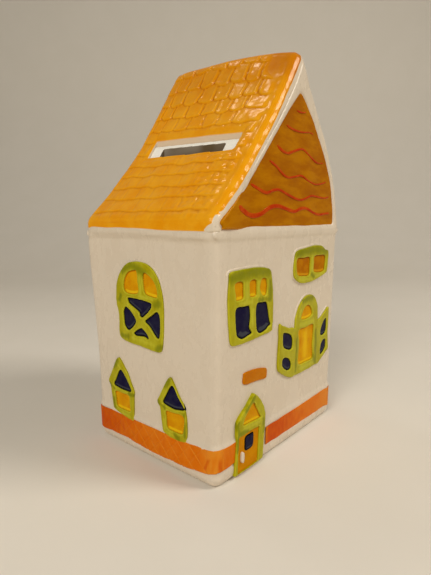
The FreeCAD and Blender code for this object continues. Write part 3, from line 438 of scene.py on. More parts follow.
WELL_ACROSS = -21.9
WELL_ALONG = -2.4
left_face = step(-left_deep, -0.9, -0.3) * step(facing_z - facing_x, 0.2, 0.7) * step(-across, -8.0, -5.0)
right_face = step(-right_deep, -0.9, -0.3) * step(facing_x + facing_z, 0.2, 0.7) * step(across, 11.0, 14.0)
front_end = 34.8 - 7.5 * step(left_up, 74, 84)
tiled = step(front_end + along, 0.0, 3.0) * step(37.0 - along, 0.0, 1.6)
past_well = np.maximum(np.abs(across - WELL_ACROSS) - 3.7, np.abs(along - WELL_ALONG) - 27.0)
left_rise = tiles(-along, left_up, 1.0) * left_face * tiled * step(past_well, 0.1, 1.6)
right_rise = tiles(along, right_up, 9.0) * right_face * tiled
drop = np.where(along > -6, 0.0013 * (along + 6) ** 2, 0.000062 * np.abs(along + 6) ** 3)
bow = (1.5 - drop) * step(np.maximum(left_up, right_up), 80, 96)
lumps = np.array([noise.noise_vector(Vector(spot) / 14) for spot in spots]) * 0.3
beads = np.array([noise.noise(Vector(spot) / 3.0) for spot in spots]) * 0.16 * step(-along, 31, 35)
raised = spots + normals * (left_rise + right_rise + beads)[:, None] + lumps
raised[:, 2] += bow
move(roof, raised)

# The amber runs a little way over each edge; above nought the mark is glazed, below it the roof stays white.
AMBER_UP = [0, 6, 10, 20, 40, 60, 90]
AMBER_DEEP = [1.7, 1.9, 2.2, 2.7, 3.0, 3.2, 3.4]
limit = np.interp(left_up, AMBER_UP, AMBER_DEEP)
corner = 34.8 + 1.5 * np.maximum(left_up, 0) + along
eave_nose = (left_up < 7.0) & (across < -44.5)
nose = np.where(eave_nose, up - 101.3 + LIP_DIP * step(-along, -10, 36), -9.0)
end_face = 9 * step(-facing_y, 0.4, 0.8) * (1 - step(up, 105.0, 107.6))
amber_left = np.minimum(np.maximum(limit - left_deep, nose), corner) - end_face
amber_right = np.minimum(2.0 - right_deep, along + 37.0)
outside_well = np.maximum(past_well + 0.5, 0.3 - left_deep)
mark(roof, "amber", np.minimum(np.maximum(amber_left, amber_right), outside_well))
high_up = 0.3 * step(left_up, 62, 80) + 0.4 * step(-along, 22, 31) * step(left_up, 74, 86)
mark(roof, "brush", high_up * (across < 8))
amber = glaze(
    "amber_glaze", body=(238, 154, 0), thin=(246, 180, 34), pooled=(190, 102, 0),
    patch=9, edge=0.28, crest=0.35, gloss=0.15, mirror=0.22, tint=(1, 0.86, 0.66),
)


def split(material, colour, attribute):
    """Where the attribute is below nought, show another colour instead of the glaze: bare white, or a painted
    shade.
    """
    tree = material.node_tree
    shader = tree.nodes["Principled BSDF"]
    painted = shader.inputs["Base Color"].links[0].from_socket
    place = tree.nodes.new("ShaderNodeAttribute")
    place.attribute_name = attribute
    sharp = tree.nodes.new("ShaderNodeMapRange")
    sharp.inputs["From Min"].default_value = -0.15
    sharp.inputs["From Max"].default_value = 0.15
    tree.links.new(place.outputs["Fac"], sharp.inputs["Value"])
    both = tree.nodes.new("ShaderNodeMix")
    both.data_type = "RGBA"
    both.inputs["A"].default_value = tone(*colour)
    tree.links.new(sharp.outputs["Result"], both.inputs["Factor"])
    tree.links.new(painted, both.inputs["B"])
    tree.links.new(both.outputs["Result"], shader.inputs["Base Color"])


BARE_WHITE = (228, 213, 190)
split(amber, BARE_WHITE, "amber")
sway(roof)
finish_piece(roof, amber, ["roof_shell", "left_tile_courses", "right_tile_courses"])

# Slot surround: the sunk floor round the coin slot, a small plate let into a well in the left slope and
# luted in. It is glazed a clean white; the walls inside the slot are painted dark brown as the shade in the
# slot.
SLOT_SHADE = (104, 87, 62)
surround = cast("slot_floor", [nodes["slot_surround"].data], grain=0.25, soften=2, wave=0.05)
across, along, up = spots_of(surround).T
hole = np.maximum(np.abs(across - WELL_ACROSS) - 2.3, np.abs(along - WELL_ALONG) - 18.9)
upper_lip = 1.0 * step(across, -22.5, -20.2) * (1 - step(across, -19.4, -18.4))
move(surround, np.stack([across - upper_lip, along, up - 1.2 * upper_lip], 1))
floor_face = np.abs(spots_of(surround, "normal")[:, 2]) > 0.3
# Below nought, on the inner walls of the slot, the white glaze gives way to a painted shade.
mark(surround, "glazed", np.where(floor_face, 1.0, hole - 0.12))
floor_white = glaze(
    "slot_white", body=(255, 251, 238), thin=(255, 253, 244), pooled=(242, 233, 212),
    patch=10, gloss=0.3,
)
split(floor_white, SLOT_SHADE, "glazed")
sway(surround)
finish_piece(surround, floor_white, ["slot_surround"])

# Gable panels: amber glaze laid into the sunk fields of the gables in broad strokes.
# Red wavy lines are drawn over it with one loaded brush, so that each starts full and runs out thin.
PANEL = [
    (-40.0, 100.8), (-44.0, 101.3), (-45.5, 102.3), (-46.2, 103.7), (-42.2, 107.0), (-37.0, 111.6),
    (-28.2, 121.3), (-20.6, 130.3), (-11.0, 140.8), (-0.8, 151.2), (4.6, 155.4), (8.2, 158.4),
    (12.4, 156.8), (18.0, 154.0), (25.0, 149.0), (31.6, 140.8), (37.0, 130.8), (40.8, 120.4), (42.9, 109.8),
    (43.0, 103.0), (42.4, 100.6),
]
WAVES = [
    (0.9, [
        (-36, 109.6), (-33, 108), (-29, 106.4), (-25, 105.9), (-20, 106.8), (-14, 109.3), (-8, 110),
        (-2, 109), (5, 107.9), (11, 109.3), (16, 109.3), (22, 107.6), (28, 106.7), (34, 107.2), (40, 107.4),
    ]),
    (0.6, [
        (-28, 118), (-24, 116.8), (-17, 115), (-12, 116.2), (-7, 116.6), (0, 114.8), (8, 113.2),
        (13, 113.4), (20, 115.2), (26, 115), (33, 114.6), (39, 115.8),
    ]),
    (0.5, [
        (-15.5, 128), (-10, 126), (-4, 122.9), (0, 122.1), (5, 122.8), (11, 123.6), (17, 121.8),
        (24, 120.6), (30, 121.3), (36, 122.6),
    ]),
    (0.55, [
        (-10, 134.6), (-6, 132.7), (-1, 132), (4, 133.4), (11, 135), (17, 133.4), (24, 130.8), (28, 130.4),
        (33, 131),
    ]),
    (0.4, [(-3, 143.4), (1, 142.4), (8, 142), (14, 142.4), (19, 142.9), (24, 142.4)]),
    (0.35, [(5, 150.4), (9, 150.1), (13, 150.6), (15, 151)]),
]
TIP_RAISED = 1.4


def ribbon(width, points):
    """Outline of a brushed line that starts full and runs out thin."""
    last = len(points) - 1
    line = []
    for index in range(last):
        near = [Vector(points[min(max(index + offset, 0), last)]) for offset in (-1, 0, 1, 2)]
        line += [between(*near, part / 5) for part in range(5)]
    sides = ([], [])
    for index, spot in enumerate(line[1:-1], 1):
        run = (line[index + 1] - line[index - 1]).normalized()
        share = index / len(line)
        uneven = 0.15 * noise.noise(Vector((spot[0] / 4, spot[1], 3)))
        half = width * min(1, index / 3) * (1.15 - 0.6 * share + uneven)
        sides[0].append(spot + Vector((-run[1], run[0])) * half)
        sides[1].append(spot - Vector((-run[1], run[0])) * half)
    return sides[0] + sides[1][::-1]


panel_amber = glaze(
    "gable_amber", body=(168, 96, 0), thin=(190, 122, 0), pooled=(136, 70, 0),
    patch=12, stretch=(0.8, 1, 2.6), share=0.9, mirror=0.08, tint=(1, 0.8, 0.4),
)
red = glaze(
    "red_lines", body=(184, 46, 2), thin=(200, 78, 6), pooled=(150, 26, 2),
    patch=5, share=0.9, mirror=0.12, tint=(1, 0.7, 0.4),
)
for side, name in ((-1, "front"), (1, "rear")):
    face = slab([spline(PANEL)], -2.2, -0.45, gable_face(side))
    field = cast(f"{name}_panel", [face], grain=0.4, soften=3, wave=0.2)
    strokes = [slab([ribbon(width, points)], -0.9, -0.15, gable_face(side)) for width, points in WAVES]
    lines = cast(f"{name}_red_lines", strokes, grain=0.2, soften=4)
    for layer in (field, lines):
        spots = spots_of(layer)
        spots[:, 1] += side * TIP_RAISED * (1 - step(spots[:, 0], -45.0, -26.0))
        move(layer, spots)
        sway(layer)
    finish_piece(field, panel_amber, [f"{name}_gable_panel"])
    finish_piece(lines, red, [])

# Plinth band: a strip of clay laid round the foot, with a lattice cut into it on the eave walls, under an
# orange glaze. The glaze is thin and pale in the cuts, and thick at the far end of the left wall and beside
# the door. At the front corner a paler patch is painted on as the highlight along the rounded corner.
BAND_FOOT = 4.5
BAND_HEIGHT = 10.5
BAND_SUNK = 0.3
LATTICE = 7
LATTICE_START = 34.2
orange = glaze(
    "orange_glaze", body=(224, 112, 0), thin=(234, 152, 46), pooled=(206, 78, 0),
    patch=8, share=0.25, edge=0.8, crest=0.8, mirror=0.05, tint=(1, 0.75, 0.4),
)
band = cast("band", [nodes["plinth_band"].data], grain=0.3, soften=1)
spots = spots_of(band)
across, along, up = spots.T.copy()
on_left = (across < -45.5) & (along - across > 9.1)
on_front = ~on_left & (along < -34)


def band_edge(left, front):
    """Height of one edge of the band, along the left wall from its rear end and along the front wall."""
    left_height = np.interp(-along, [-39, -18, 2, 12, 21, 29, 39], left)
    front_height = np.interp(across, [-48, -36, -14, 0, 40, 48], front)
    return np.where(on_left, left_height, front_height)


low = band_edge([4.4, 5.1, 3.9, 4.4, 4.5, 5.6, 7.0], [7.0, 7.4, 6.2, 5.8, 5.4, 4.6])
high = band_edge([15.3, 15.4, 15.3, 15.5, 15.8, 16.3, 16.6], [16.6, 16.2, 14.6, 14.6, 15.2, 15.0])
rise = (up - BAND_FOOT) / BAND_HEIGHT
unsteady = np.array([noise.noise(Vector((a / 6, b / 6, 2))) for a, b in zip(across, along)]) * 0.35
streak = np.array([noise.noise(Vector((a / 1.5, b / 1.5, c / 4))) for a, b, c in spots])
spots[:, 2] = np.where(on_left | (along < -34), low + rise * (high - low), up) + unsteady
spots[:, 0] -= BAND_SUNK * np.sign(across) * (np.abs(across) > 44)
spots[:, 1] -= BAND_SUNK * np.sign(along) * (np.abs(along) > 34)
move(band, spots)

cut_walls = (np.abs(across) > 46) * (np.abs(along) < 34) * step(-along, -26, 0)
lattice = np.zeros(len(spots))
for slant, strength in ((1, 0.5), (-1, 0.18)):
    line = (slant * along + LATTICE_START - (up - BAND_FOOT) + LATTICE / 2) % LATTICE - LATTICE / 2
    lattice = np.maximum(lattice, strength * (1 - step(np.abs(line - 0.4), 0.15, 0.55)) * cut_walls)
# Painted highlight: a paler patch down the rounded front corner of the band.
corner_highlight = 0.7 * (on_left * step(-along, 28, 37) + on_front * (1 - step(across, -47, -41)))
far_right = 0.45 * on_front * step(across, 22, 46)
worn = np.maximum(np.maximum(lattice, corner_highlight), far_right)
mark(band, "pale", np.clip(worn * (1 + 0.8 * streak), 0, 1))
dark_left = 0.8 * on_left * (1 - step(-along, -34, 0))
dark_door = 0.9 * on_front * step(across, -14, -13) * (1 - step(across, -8, 22))
left_stroke = 1 - step(np.abs(-along - 34 - 0.5 * (up - 9)), 0.4, 1.3)
left_stroke = on_left * left_stroke * step(up, 5, 7) * (1 - step(up, 10, 12))
front_stroke = on_front * (1 - step(np.abs(across + 45.6), 0.4, 1.5)) * (1 - step(up, 9, 13))
laid = np.maximum(np.maximum(dark_left, dark_door), 0.6 * (left_stroke + front_stroke))
mark(band, "brush", np.clip(laid + 0.35 * streak, 0, 1) * (lattice < 0.3))
finish_piece(band, orange, ["plinth_band"])

# Windows: moulded sprigs of clay luted to the walls, their frames brushed lime green by hand.
# Amber lights and dark blue panes are pools of glaze sunk inside them, with a highlight painted along the
# lower edge of each, and white glaze has swollen up round each frame.
ROOT = -1.2
FRONT_SHIFT = 1.2
FRONT_LEAN = 1.8
LEFT_WALL = 48.3
LEFT_SHIFT = 1.1
LEFT_LEAN = 0.9
green = glaze(
    "green_glaze", body=(170, 160, 0), thin=(196, 192, 44), pooled=(118, 124, 0),
    patch=4, stretch=(1, 1, 0.4), share=0.45, edge=0.25, crest=0.2, mirror=0.12, tint=(1, 0.95, 0.5),
)
pane_amber = glaze(
    "pane_amber", body=(214, 142, 0), thin=(240, 196, 20), pooled=(196, 104, 0),
    patch=5, share=0.35, crest=0.5, gloss=0.5, mirror=0.05, tint=(1, 0.8, 0.45),
)
navy = glaze(
    "navy_glaze", body=(20, 15, 52), thin=(62, 66, 74), pooled=(2, 2, 5),
    patch=4, share=0.2, edge=0.5, crest=0.8, gloss=0.2, mirror=0.04, tint=(0.7, 0.7, 1),
)


def on_front_wall(x, z, out):
    """Carries an outline drawn on the front wall, seen from outside, to that wall, which leans a little."""
    return x - FRONT_SHIFT, -(GABLE_FACE - FRONT_LEAN * (1 - z / EAVE) + out), z


def on_left_wall(x, z, out):
    """The same for the left wall."""
    return -(LEFT_WALL - LEFT_LEAN * (1 - z / EAVE) + out), -(x + LEFT_SHIFT), z


WALL_PLACES = {"front": on_front_wall, "left": on_left_wall}


def wall_spots(piece, wall):
    """Sideways place and height of each corner on its wall, as seen from outside."""
    x, y, z = spots_of(piece).T
    return {"front": x + FRONT_SHIFT, "left": -y - LEFT_SHIFT}[wall], z


def brush_over(piece, wall, strokes, name):
    """Mark where a loaded brush went over a piece: strokes run from u, z to u, z with a half width, in mm."""
    u, z = wall_spots(piece, wall)
    wobble = np.array([noise.noise(Vector((a / 1.2, b / 1.2, c / 3.5))) for a, b, c in spots_of(piece)]) * 0.9
    laid = np.zeros(len(u))
    for u0, z0, u1, z1, half in strokes:
        run = u1 - u0
        climb = z1 - z0
        share = np.clip(((u - u0) * run + (z - z0) * climb) / (run**2 + climb**2), 0, 1)
        away = np.hypot(u - u0 - share * run, z - z0 - share * climb) + wobble
        laid = np.maximum(laid, 1 - step(away, 0.1 * half, 1.6 * half))
    mark(piece, name, 0.75 * laid)


def reach_of(piece, wall, rings):
    """How far each corner is from the nearest outline, in mm, and how straight above it, from 0 to 1."""
    spots = np.stack(wall_spots(piece, wall), 1)
    edge = np.array([spot[:2] for ring in rings for spot in ring])
    away = spots[:, None, :] - edge[None, :, :]
    reach = np.hypot(away[:, :, 0], away[:, :, 1])
    nearest = reach.argmin(1)
    rows = np.arange(len(spots))
    near = reach[rows, nearest]
    return near, step(away[rows, nearest, 1] / (near + 0.05), 0.45, 0.75)


def edge_marks(piece, wall, rings, dark, lower_highlight):
    """Mark the dark rim of each pane, dark mm wide, and a painted highlight: the pale strip lower_highlight
    mm above its lower edge, where the light catches the lower bevel of the sunk pane.
    """
    near, above = reach_of(piece, wall, rings)
    foot, head = lower_highlight
    strip = step(near, foot - 0.2, foot + 0.2) * (1 - step(near, head - 0.3, head + 0.3))
    # Painted highlight: a pale strip just inside the lower edge, where the sunk pane's bevel catches the
    # light.
    mark(piece, "pale", above * strip)
    rim = 1 - step(near, dark * 0.6, dark * 1.4)
    mark(piece, "brush", rim * np.where(foot < dark, 1 - above, 1))


def grow(ring, by):
    """The outline moved out by a little, so that a pane runs under its frame."""
    area = sum(a[0] * b[1] - a[1] * b[0] for a, b in zip(ring, ring[1:] + ring[:1]))
    turn = 1 if area > 0 else -1
    grown = []
    for index, spot in enumerate(ring):
        run = (ring[(index + 1) % len(ring)] - ring[index - 1]).normalized()
        grown.append(spot + Vector((run[1], -run[0])) * by * turn)
    return grown


def relief(part, wall, rings, high, material, dark=(), pale=()):
    """A raised piece with holes, brushed darker or paler along some strokes."""
    plate = slab(rings, ROOT, high, WALL_PLACES[wall])
    piece = cast(f"{part}_glazed", [plate], grain=0.25, soften=4, wave=0.08, wave_length=3)
    brush_over(piece, wall, dark, "brush")
    brush_over(piece, wall, pale, "pale")
    if len(rings) > 1:
        mark(piece, "pale", 0.7 - 0.7 * step(reach_of(piece, wall, rings[1:])[0], 0.35, 0.8))
    finish_piece(piece, material, [part])


def reliefs(part, wall, rings, high, material, by=0.4, dark=0.5, lower_highlight=(0.0, 1.4), pale=()):
    """Panes that run a little way under their frame, with a highlight painted along their lower edge."""
    plates = [slab([grow(ring, by)], ROOT, high, WALL_PLACES[wall]) for ring in rings]
    piece = cast(f"{part}_glazed", plates, grain=0.25, soften=3, wave=0.08, wave_length=3)
    edge_marks(piece, wall, rings, dark, lower_highlight)
    brush_over(piece, wall, pale, "pale")
    finish_piece(piece, material, [part])


def window(
    wall, frame_part, outline, lights_part=None, lights=(), panes_part=None, panes=(),
    dark=(), pale=(), glow=(), light=pane_amber, lower_highlight=(0.9, 1.5),
):
    """A moulded frame with holes in a swell of white glaze, and the coloured panes lying low inside it."""
    outline = spline(outline)
    lights = [spline(ring) for ring in lights]
    panes = [spline(ring) for ring in panes]
    mound = slab([grow(outline, 0.9), grow(outline, -0.9)], ROOT, 0.3, WALL_PLACES[wall])
    swell = cast(f"{frame_part}_swell", [mound], grain=0.35, soften=6)
    finish_piece(swell, white, [])
    relief(frame_part, wall, [outline] + lights + panes, 1.0, green, dark=dark, pale=pale)
    if lights_part:
        reliefs(lights_part, wall, lights, 0.35, light, pale=glow)
    if panes_part:
        reliefs(panes_part, wall, panes, 0.5, navy, dark=0.6, lower_highlight=lower_highlight)


# Arched window: the large sprig high on the left wall, two amber fanlights over four dark panes.
# The panes lie between the bars of a cross; the green is thickest over the arch.
window(
    "left", "arched_window_frame",
    [(-20, 73), (-19.3, 77.5), (-17.5, 81), (-14.5, 84.5), (-11, 86.6), (-6, 87.5), (0, 87), (4, 85.2),
     (7, 82), (9, 78), (10.3, 72), (10.3, 65), (9.8, 58), (9, 52.5), (7.5, 50.6), (4, 50.3), (-4, 51),
     (-11, 51.3), (-16, 52), (-18.6, 53.5), (-19, 57), (-18.8, 63), (-20, 68)],
    "arched_window_fanlights",
    [[(-14, 79.5), (-11.5, 82.5), (-8, 83.6), (-5.5, 83.3), (-5, 79), (-4.8, 74.5), (-9, 73.3),
      (-13.5, 73.8), (-14.7, 76)],
     [(-1.2, 82.8), (2, 82.2), (5, 80), (6.8, 77), (7, 73.6), (4, 73.3), (-0.5, 74.3), (-1.6, 78)]],
    "arched_window_panes",
    [[(-11.8, 71.5), (-5, 71.5), (2.5, 70.8), (3.4, 70), (2.5, 68), (-1, 65), (-3, 63.8), (-4.5, 64.3),
      (-5, 66), (-11, 68.8), (-12, 70)],
     [(-14, 67.2), (-12, 66.8), (-8.5, 64), (-7, 62), (-8, 60), (-11, 57.5), (-13, 57), (-15, 58.8),
      (-15.5, 62), (-15.5, 65)],
     [(6, 67.3), (7.6, 67), (8.3, 63), (7.6, 57), (6, 56.3), (4.5, 57.5), (1.5, 60.5), (-1.3, 62.3),
      (0, 63.5), (3.5, 65.8)],
     [(-4.5, 59), (-3, 59), (0, 56.8), (0.8, 55.2), (0, 54.8), (-2, 55.6), (-5, 55.4), (-7.5, 55.2),
      (-9, 56), (-8, 57)]],
    dark=[(-15, 83, -9, 85.8, 1.6), (-9, 85.8, -1, 83, 2.0), (6, 70, 8, 71, 1.6), (8.5, 53, 6, 51.5, 1.4),
          (-18, 70, -16.5, 72, 1.0), (-17.5, 54, -13, 54, 1.2)],
    pale=[(-3.2, 82, -3.4, 74, 0.9), (-4, 73, 4, 72.4, 0.7), (-12, 68.5, -6, 64.5, 0.5),
          (-10, 54, 4, 53, 0.9)],
)

# Pointed windows: two small sprigs low on the left wall, standing on the band.
# Each has a dark pane under its point and a square amber light below; the green is darkest at the tips.
window(
    "left", "left_pointed_frame",
    [(-21.4, 42.5), (-24, 39), (-27, 34), (-28.8, 30.8), (-28.7, 29.3), (-27.6, 27.5), (-27, 23),
     (-26.3, 19), (-25.5, 17), (-21, 15.8), (-17, 15.2), (-13, 14.8), (-11.6, 15.2), (-11.3, 20), (-11, 26),
     (-10.6, 28.2), (-11.2, 29.8), (-12.5, 32), (-14.5, 36), (-17.5, 39.5), (-19.5, 41.7)],
    "left_pointed_light",
    [[(-24.2, 25.8), (-19, 26.1), (-14.2, 25.9), (-13.8, 22), (-13.8, 18.6), (-18, 18.2), (-23.3, 18.6),
      (-24, 22)]],
    "left_pointed_pane",
    [[(-20, 37), (-21.5, 35.5), (-23.5, 32), (-25, 29.8), (-24.8, 28.6), (-22, 28.1), (-17, 27.8),
      (-13.5, 28), (-12.4, 29), (-13.5, 31), (-16, 34.3), (-18.7, 36.8)]],
    dark=[(-21.4, 41.5, -24, 38, 1.2), (-28, 28.6, -25, 27.4, 0.8), (-14, 27, -11, 27, 0.8),
          (-25.5, 22, -24.8, 18, 0.9)],
    pale=[(-22, 40, -17, 36, 0.5), (-20, 16.6, -14, 16.2, 0.8)],
)
window(
    "left", "right_pointed_frame",
    [(12.6, 41), (10.5, 38.5), (8, 34.5), (6, 31), (5, 29.6), (5.2, 28), (6.5, 26.5), (7, 22), (7.8, 17.5),
     (8.6, 16), (12, 15), (16, 14.8), (20, 15.2), (21.6, 16), (22.1, 20), (21.8, 26), (21.2, 29),
     (20.6, 30.8), (18, 34), (15.5, 38), (13.8, 40.5)],
    "right_pointed_light",
    [[(10, 25.7), (14, 26.2), (20.3, 26.2), (20.2, 20.5), (19, 18.3), (14, 18), (10.6, 18.6), (10.2, 22)]],
    "right_pointed_pane",
    [[(14.2, 37.8), (12.5, 36.5), (10, 32.5), (8.4, 30), (8.6, 28.9), (11, 28.3), (15, 27.9), (19, 28.5),
      (20.9, 29.2), (20.4, 30.5), (17.5, 33.8), (15.5, 37)]],
    dark=[(12.6, 40, 10, 36.5, 1.2), (6, 28.6, 9, 27.4, 0.8), (15, 17, 17, 16, 1.0),
          (20.6, 27.4, 21, 18, 0.8)],
    pale=[(13.6, 39.5, 18, 33, 0.5), (9, 22, 9, 18, 0.6), (11, 16.6, 14, 16.4, 0.8)],
)

# Casement: the broad sprig at the upper left of the front wall, three amber top lights over two tall dark
# panes. A grey strip along the lower edge of the panes is a painted highlight on their sunk lower bevel.
window(
    "front", "casement_frame",
    [(-39.8, 85), (-35, 85.6), (-25, 85.8), (-17, 85.2), (-13.2, 83.8), (-12, 80.5), (-11, 75), (-10.4, 69),
     (-10.6, 60), (-11.2, 57.6), (-17, 57), (-28, 56.3), (-36, 56.4), (-38.8, 57.5), (-39.8, 62),
     (-40.6, 70), (-40.8, 76), (-40.3, 82)],
    "casement_lights",
    [[(-37, 80.6), (-32, 80.8), (-31.3, 77), (-31.5, 74.3), (-35.8, 74.2), (-36.6, 77)],
     [(-27.4, 80.6), (-23.2, 80.7), (-22.6, 77), (-22.8, 74.4), (-27, 74.6), (-27.6, 78)],
     [(-19.5, 80.6), (-16, 80.5), (-15.2, 77), (-15.8, 73.8), (-18.8, 74.2), (-20.6, 77)]],
    "casement_panes",
    [[(-36, 70.9), (-31, 71.1), (-27.3, 70.6), (-26.6, 66), (-27, 62), (-25.3, 59.5), (-26.5, 59),
      (-31, 58.2), (-33.6, 59), (-35.4, 60.5), (-36.3, 65)],
     [(-22.6, 70.7), (-19, 71.1), (-15.5, 70.6), (-14, 67), (-12.8, 62.5), (-12, 60.6), (-13.5, 60),
      (-15.5, 58.8), (-19.5, 58.2), (-22, 60), (-23, 65)]],
    dark=[(-39, 82.8, -27, 84.2, 2.6), (-27, 84.2, -14, 83.4, 2.6), (-13.5, 79, -13, 72, 1.4),
          (-21, 72.4, -14, 71.8, 0.9)],
    pale=[(-29.5, 80, -29.5, 73, 1.2), (-21.6, 80, -21.6, 73, 0.9), (-34, 72.6, -26, 72.4, 0.9),
          (-25, 69, -25, 60, 0.6)],
    lower_highlight=(0.9, 2.6),
)

# Twin window: a wide low sprig at the upper right of the front wall, with two square lights side by side.
# Its lights are filled with a browner amber than the others.
brown_amber = glaze(
    "brown_amber", body=(178, 102, 0), thin=(214, 150, 16), pooled=(152, 76, 0),
    patch=4, share=0.4, crest=0.5, gloss=0.5, mirror=0.03, tint=(1, 0.8, 0.45),
)
window(
    "front", "twin_window_frame",
    [(7, 89.5), (9.5, 90.8), (16, 91.5), (24, 92.3), (31, 91.8), (35, 89.8), (38.2, 88.8), (38.4, 84),
     (37.8, 79.5), (36, 78), (30, 76.5), (22, 75.2), (14, 75.2), (9, 76.8), (6.3, 79), (5.6, 82),
     (6.2, 87)],
    "twin_window_lights",
    [[(8.2, 86.8), (14, 87), (20, 86.8), (20.2, 82), (19.6, 78.6), (14, 78.6), (9.8, 79.2), (8, 81.5)],
     [(24.2, 87), (30, 87.3), (35.4, 86.6), (35.4, 82), (34.4, 79.4), (29, 79), (24, 80), (23.8, 84)]],
    dark=[(8, 89.2, 20, 90.4, 2.2), (20, 90.4, 36, 89.6, 2.2), (22, 78.6, 24, 77.4, 1.0)],
    pale=[(22, 87, 22, 80, 0.9), (10, 77.4, 22, 76.6, 0.9), (26, 77.4, 35, 78.6, 0.7)],
    light=brown_amber,
)

# Shuttered window: an arched sprig below the twin window, a fanlight over one tall amber light.
# Its two shutters stand open against the wall, each a flat sprig of its own with two small dark panes.
window(
    "front", "shuttered_window_frame",
    [(8.5, 57.5), (9.5, 61), (11.5, 64.5), (15, 67.5), (19, 69), (23.5, 68.6), (27, 66.3), (29.3, 62.5),
     (30, 58), (30.5, 50), (31.5, 40), (31.5, 33), (28, 32), (18, 31.6), (10, 31.8), (8.5, 33), (8.3, 45)],
    "shuttered_window_lights",
    [[(13.8, 58.3), (14.6, 61), (17, 63.6), (20.5, 64), (23.2, 62.2), (24.3, 58.8), (19, 57.6)],
     [(11.8, 53), (18, 53.5), (25.5, 53.8), (26.4, 50), (26, 43), (26.5, 36.5), (20, 36), (13, 36.3),
      (12.2, 40), (12.6, 47)]],
    dark=[(15, 67, 24, 67.6, 1.6), (10, 50, 10, 34, 0.9), (28.6, 50, 29, 34, 1.2), (27, 37, 29, 34, 1.3)],
    pale=[(13, 55.6, 25, 55.6, 1.3), (14, 34, 26, 34, 1.0), (12, 60, 13, 63, 0.7)],
    glow=[(19, 50, 19.5, 40, 2.6)],
)
window(
    "front", "left_shutter",
    [(-4.6, 59), (-2, 58), (4, 55.8), (8.8, 54.3), (9, 45), (9, 36), (8.8, 32), (6, 31.8), (2, 33.4),
     (-2.5, 36.2), (-4.7, 38.4), (-5, 45), (-4.6, 52)],
    panes_part="left_shutter_panes",
    panes=[
        [(-1.8, 54.2), (0, 54.4), (4, 53), (6, 51.5), (6.8, 49), (6.5, 46), (4, 45.6), (-0.5, 47.5),
         (-1.8, 50)],
        [(-1.5, 42.5), (1.5, 42.5), (4.5, 41), (6.2, 38), (5.5, 36.2), (3, 36), (-0.5, 38), (-1.9, 40)],
    ],
)
window(
    "front", "right_shutter",
    [(30.6, 54.5), (34, 56), (38, 58.5), (41.5, 60), (42, 55), (41.8, 47), (43, 38), (41, 36.5), (36, 34),
     (31, 32), (30.6, 40), (30.4, 48)],
    panes_part="right_shutter_panes",
    panes=[
        [(34.5, 51), (37, 53.8), (39.5, 54.4), (40, 51), (39.2, 47), (36, 46), (33.6, 47), (33.4, 49)],
        [(35.2, 42), (37.5, 43.5), (40, 42.8), (40.2, 39.5), (38, 37), (35, 36), (34, 37.5), (34.4, 40)],
    ],
)

# Windows of the rear and right walls: sprigs of the same kinds, luted on and painted like those in front.
# Their forms come straight from the solids, softened as clay is under glaze.
KINDS = (
    ("frames", green, "green_glaze"),
    ("lights", pane_amber, "pane_amber"),
    ("panes", navy, "navy_glaze"),
)
for wall in ("rear", "right"):
    for kind, material, slot in KINDS:
        part = f"{wall}_window_{kind}"
        piece = cast(f"{part}_glazed", [nodes[part].data], grain=0.3, soften=3, wave=0.1, wave_length=4)
        finish_piece(piece, material, [part])

# Plaque: a small brick-shaped sprig of clay luted to the front wall between the casement and the door.
# One coat of orange glaze covers it.
plaque = spline([
    (-29.8, 42.5), (-29, 43.5), (-22, 43.3), (-15, 42), (-13.4, 41), (-13.4, 38.5), (-14.5, 37.2),
    (-21, 37.8), (-28, 38.3), (-30, 39.5),
])
plaque_amber = glaze(
    "plaque_amber", body=(196, 110, 0), thin=(206, 126, 4), pooled=(178, 90, 0),
    patch=6, share=0.7, mirror=0.05, tint=(1, 0.75, 0.4),
)
relief("plaque", "front", [plaque], 0.6, plaque_amber)

# Door: a thick pointed sprig that stands on the foot and crosses the band, its frame brushed green.
# A fanlight and the leaf are amber, the leaf's window is dark blue, and the handle is a dab of white clay.
leaf = [Vector(spot) for spot in ((-34.2, 1.8), (-33.6, 17.6), (-25, 17.9), (-19.4, 17.6), (-20.0, 1.8))]
door_outline = [
    (-23.5, 33.4), (-28, 29.5), (-33, 26), (-34.6, 24.2), (-34.8, 17), (-35.5, 8), (-36, 1.7), (-16.4, 1.7),
    (-16.0, 8), (-15.2, 16), (-15.0, 22.0), (-16.2, 25.5), (-18.6, 29.0), (-21.5, 32),
]
fan = spline([
    (-24, 29.5), (-29, 25.5), (-30.8, 22), (-25, 21.4), (-18.5, 21.2), (-19, 22.5), (-21.5, 26.5),
])
pane = spline([
    (-29.0, 16.2), (-26, 16.6), (-23.6, 16.4), (-23.2, 14), (-23.8, 10.4), (-27, 9.8), (-29, 10.4),
    (-29.4, 13),
])
handle = spline([
    (-31.9, 10.0), (-31.1, 10.6), (-30.4, 9.9), (-30.3, 7.6), (-30.6, 6.2), (-31.5, 6.0), (-32.0, 7.4),
])
leaf_amber = glaze(
    "leaf_amber", body=(206, 130, 0), thin=(222, 156, 8), pooled=(176, 92, 0),
    patch=5, share=0.5, gloss=0.5, mirror=0.03, tint=(1, 0.8, 0.45),
)
relief(
    "door_frame", "front", [[Vector(spot) for spot in door_outline], leaf, fan], 1.6, green,
    dark=[(-23.5, 32, -29, 27.5, 1.1), (-34, 24, -34.4, 12, 0.7), (-33, 19, -28, 18.6, 0.9),
          (-16.6, 20, -16, 14, 0.8)],
    pale=[(-30, 20, -19, 19.8, 0.9), (-16, 16, -16, 2, 0.6), (-32.6, 25, -27, 29.4, 0.4)],
)
# The fanlight, leaf and window each get a highlight painted along their lower edge.
reliefs("door_fanlight", "front", [fan], 0.9, pane_amber)
reliefs("door_leaf", "front", [leaf], 1.0, leaf_amber, by=0.3, dark=0.8)
reliefs("door_window", "front", [pane], 1.3, navy, by=0.0, dark=0.6, lower_highlight=(0.9, 1.4))
relief("door_handle", "front", [handle], 2.1, white)

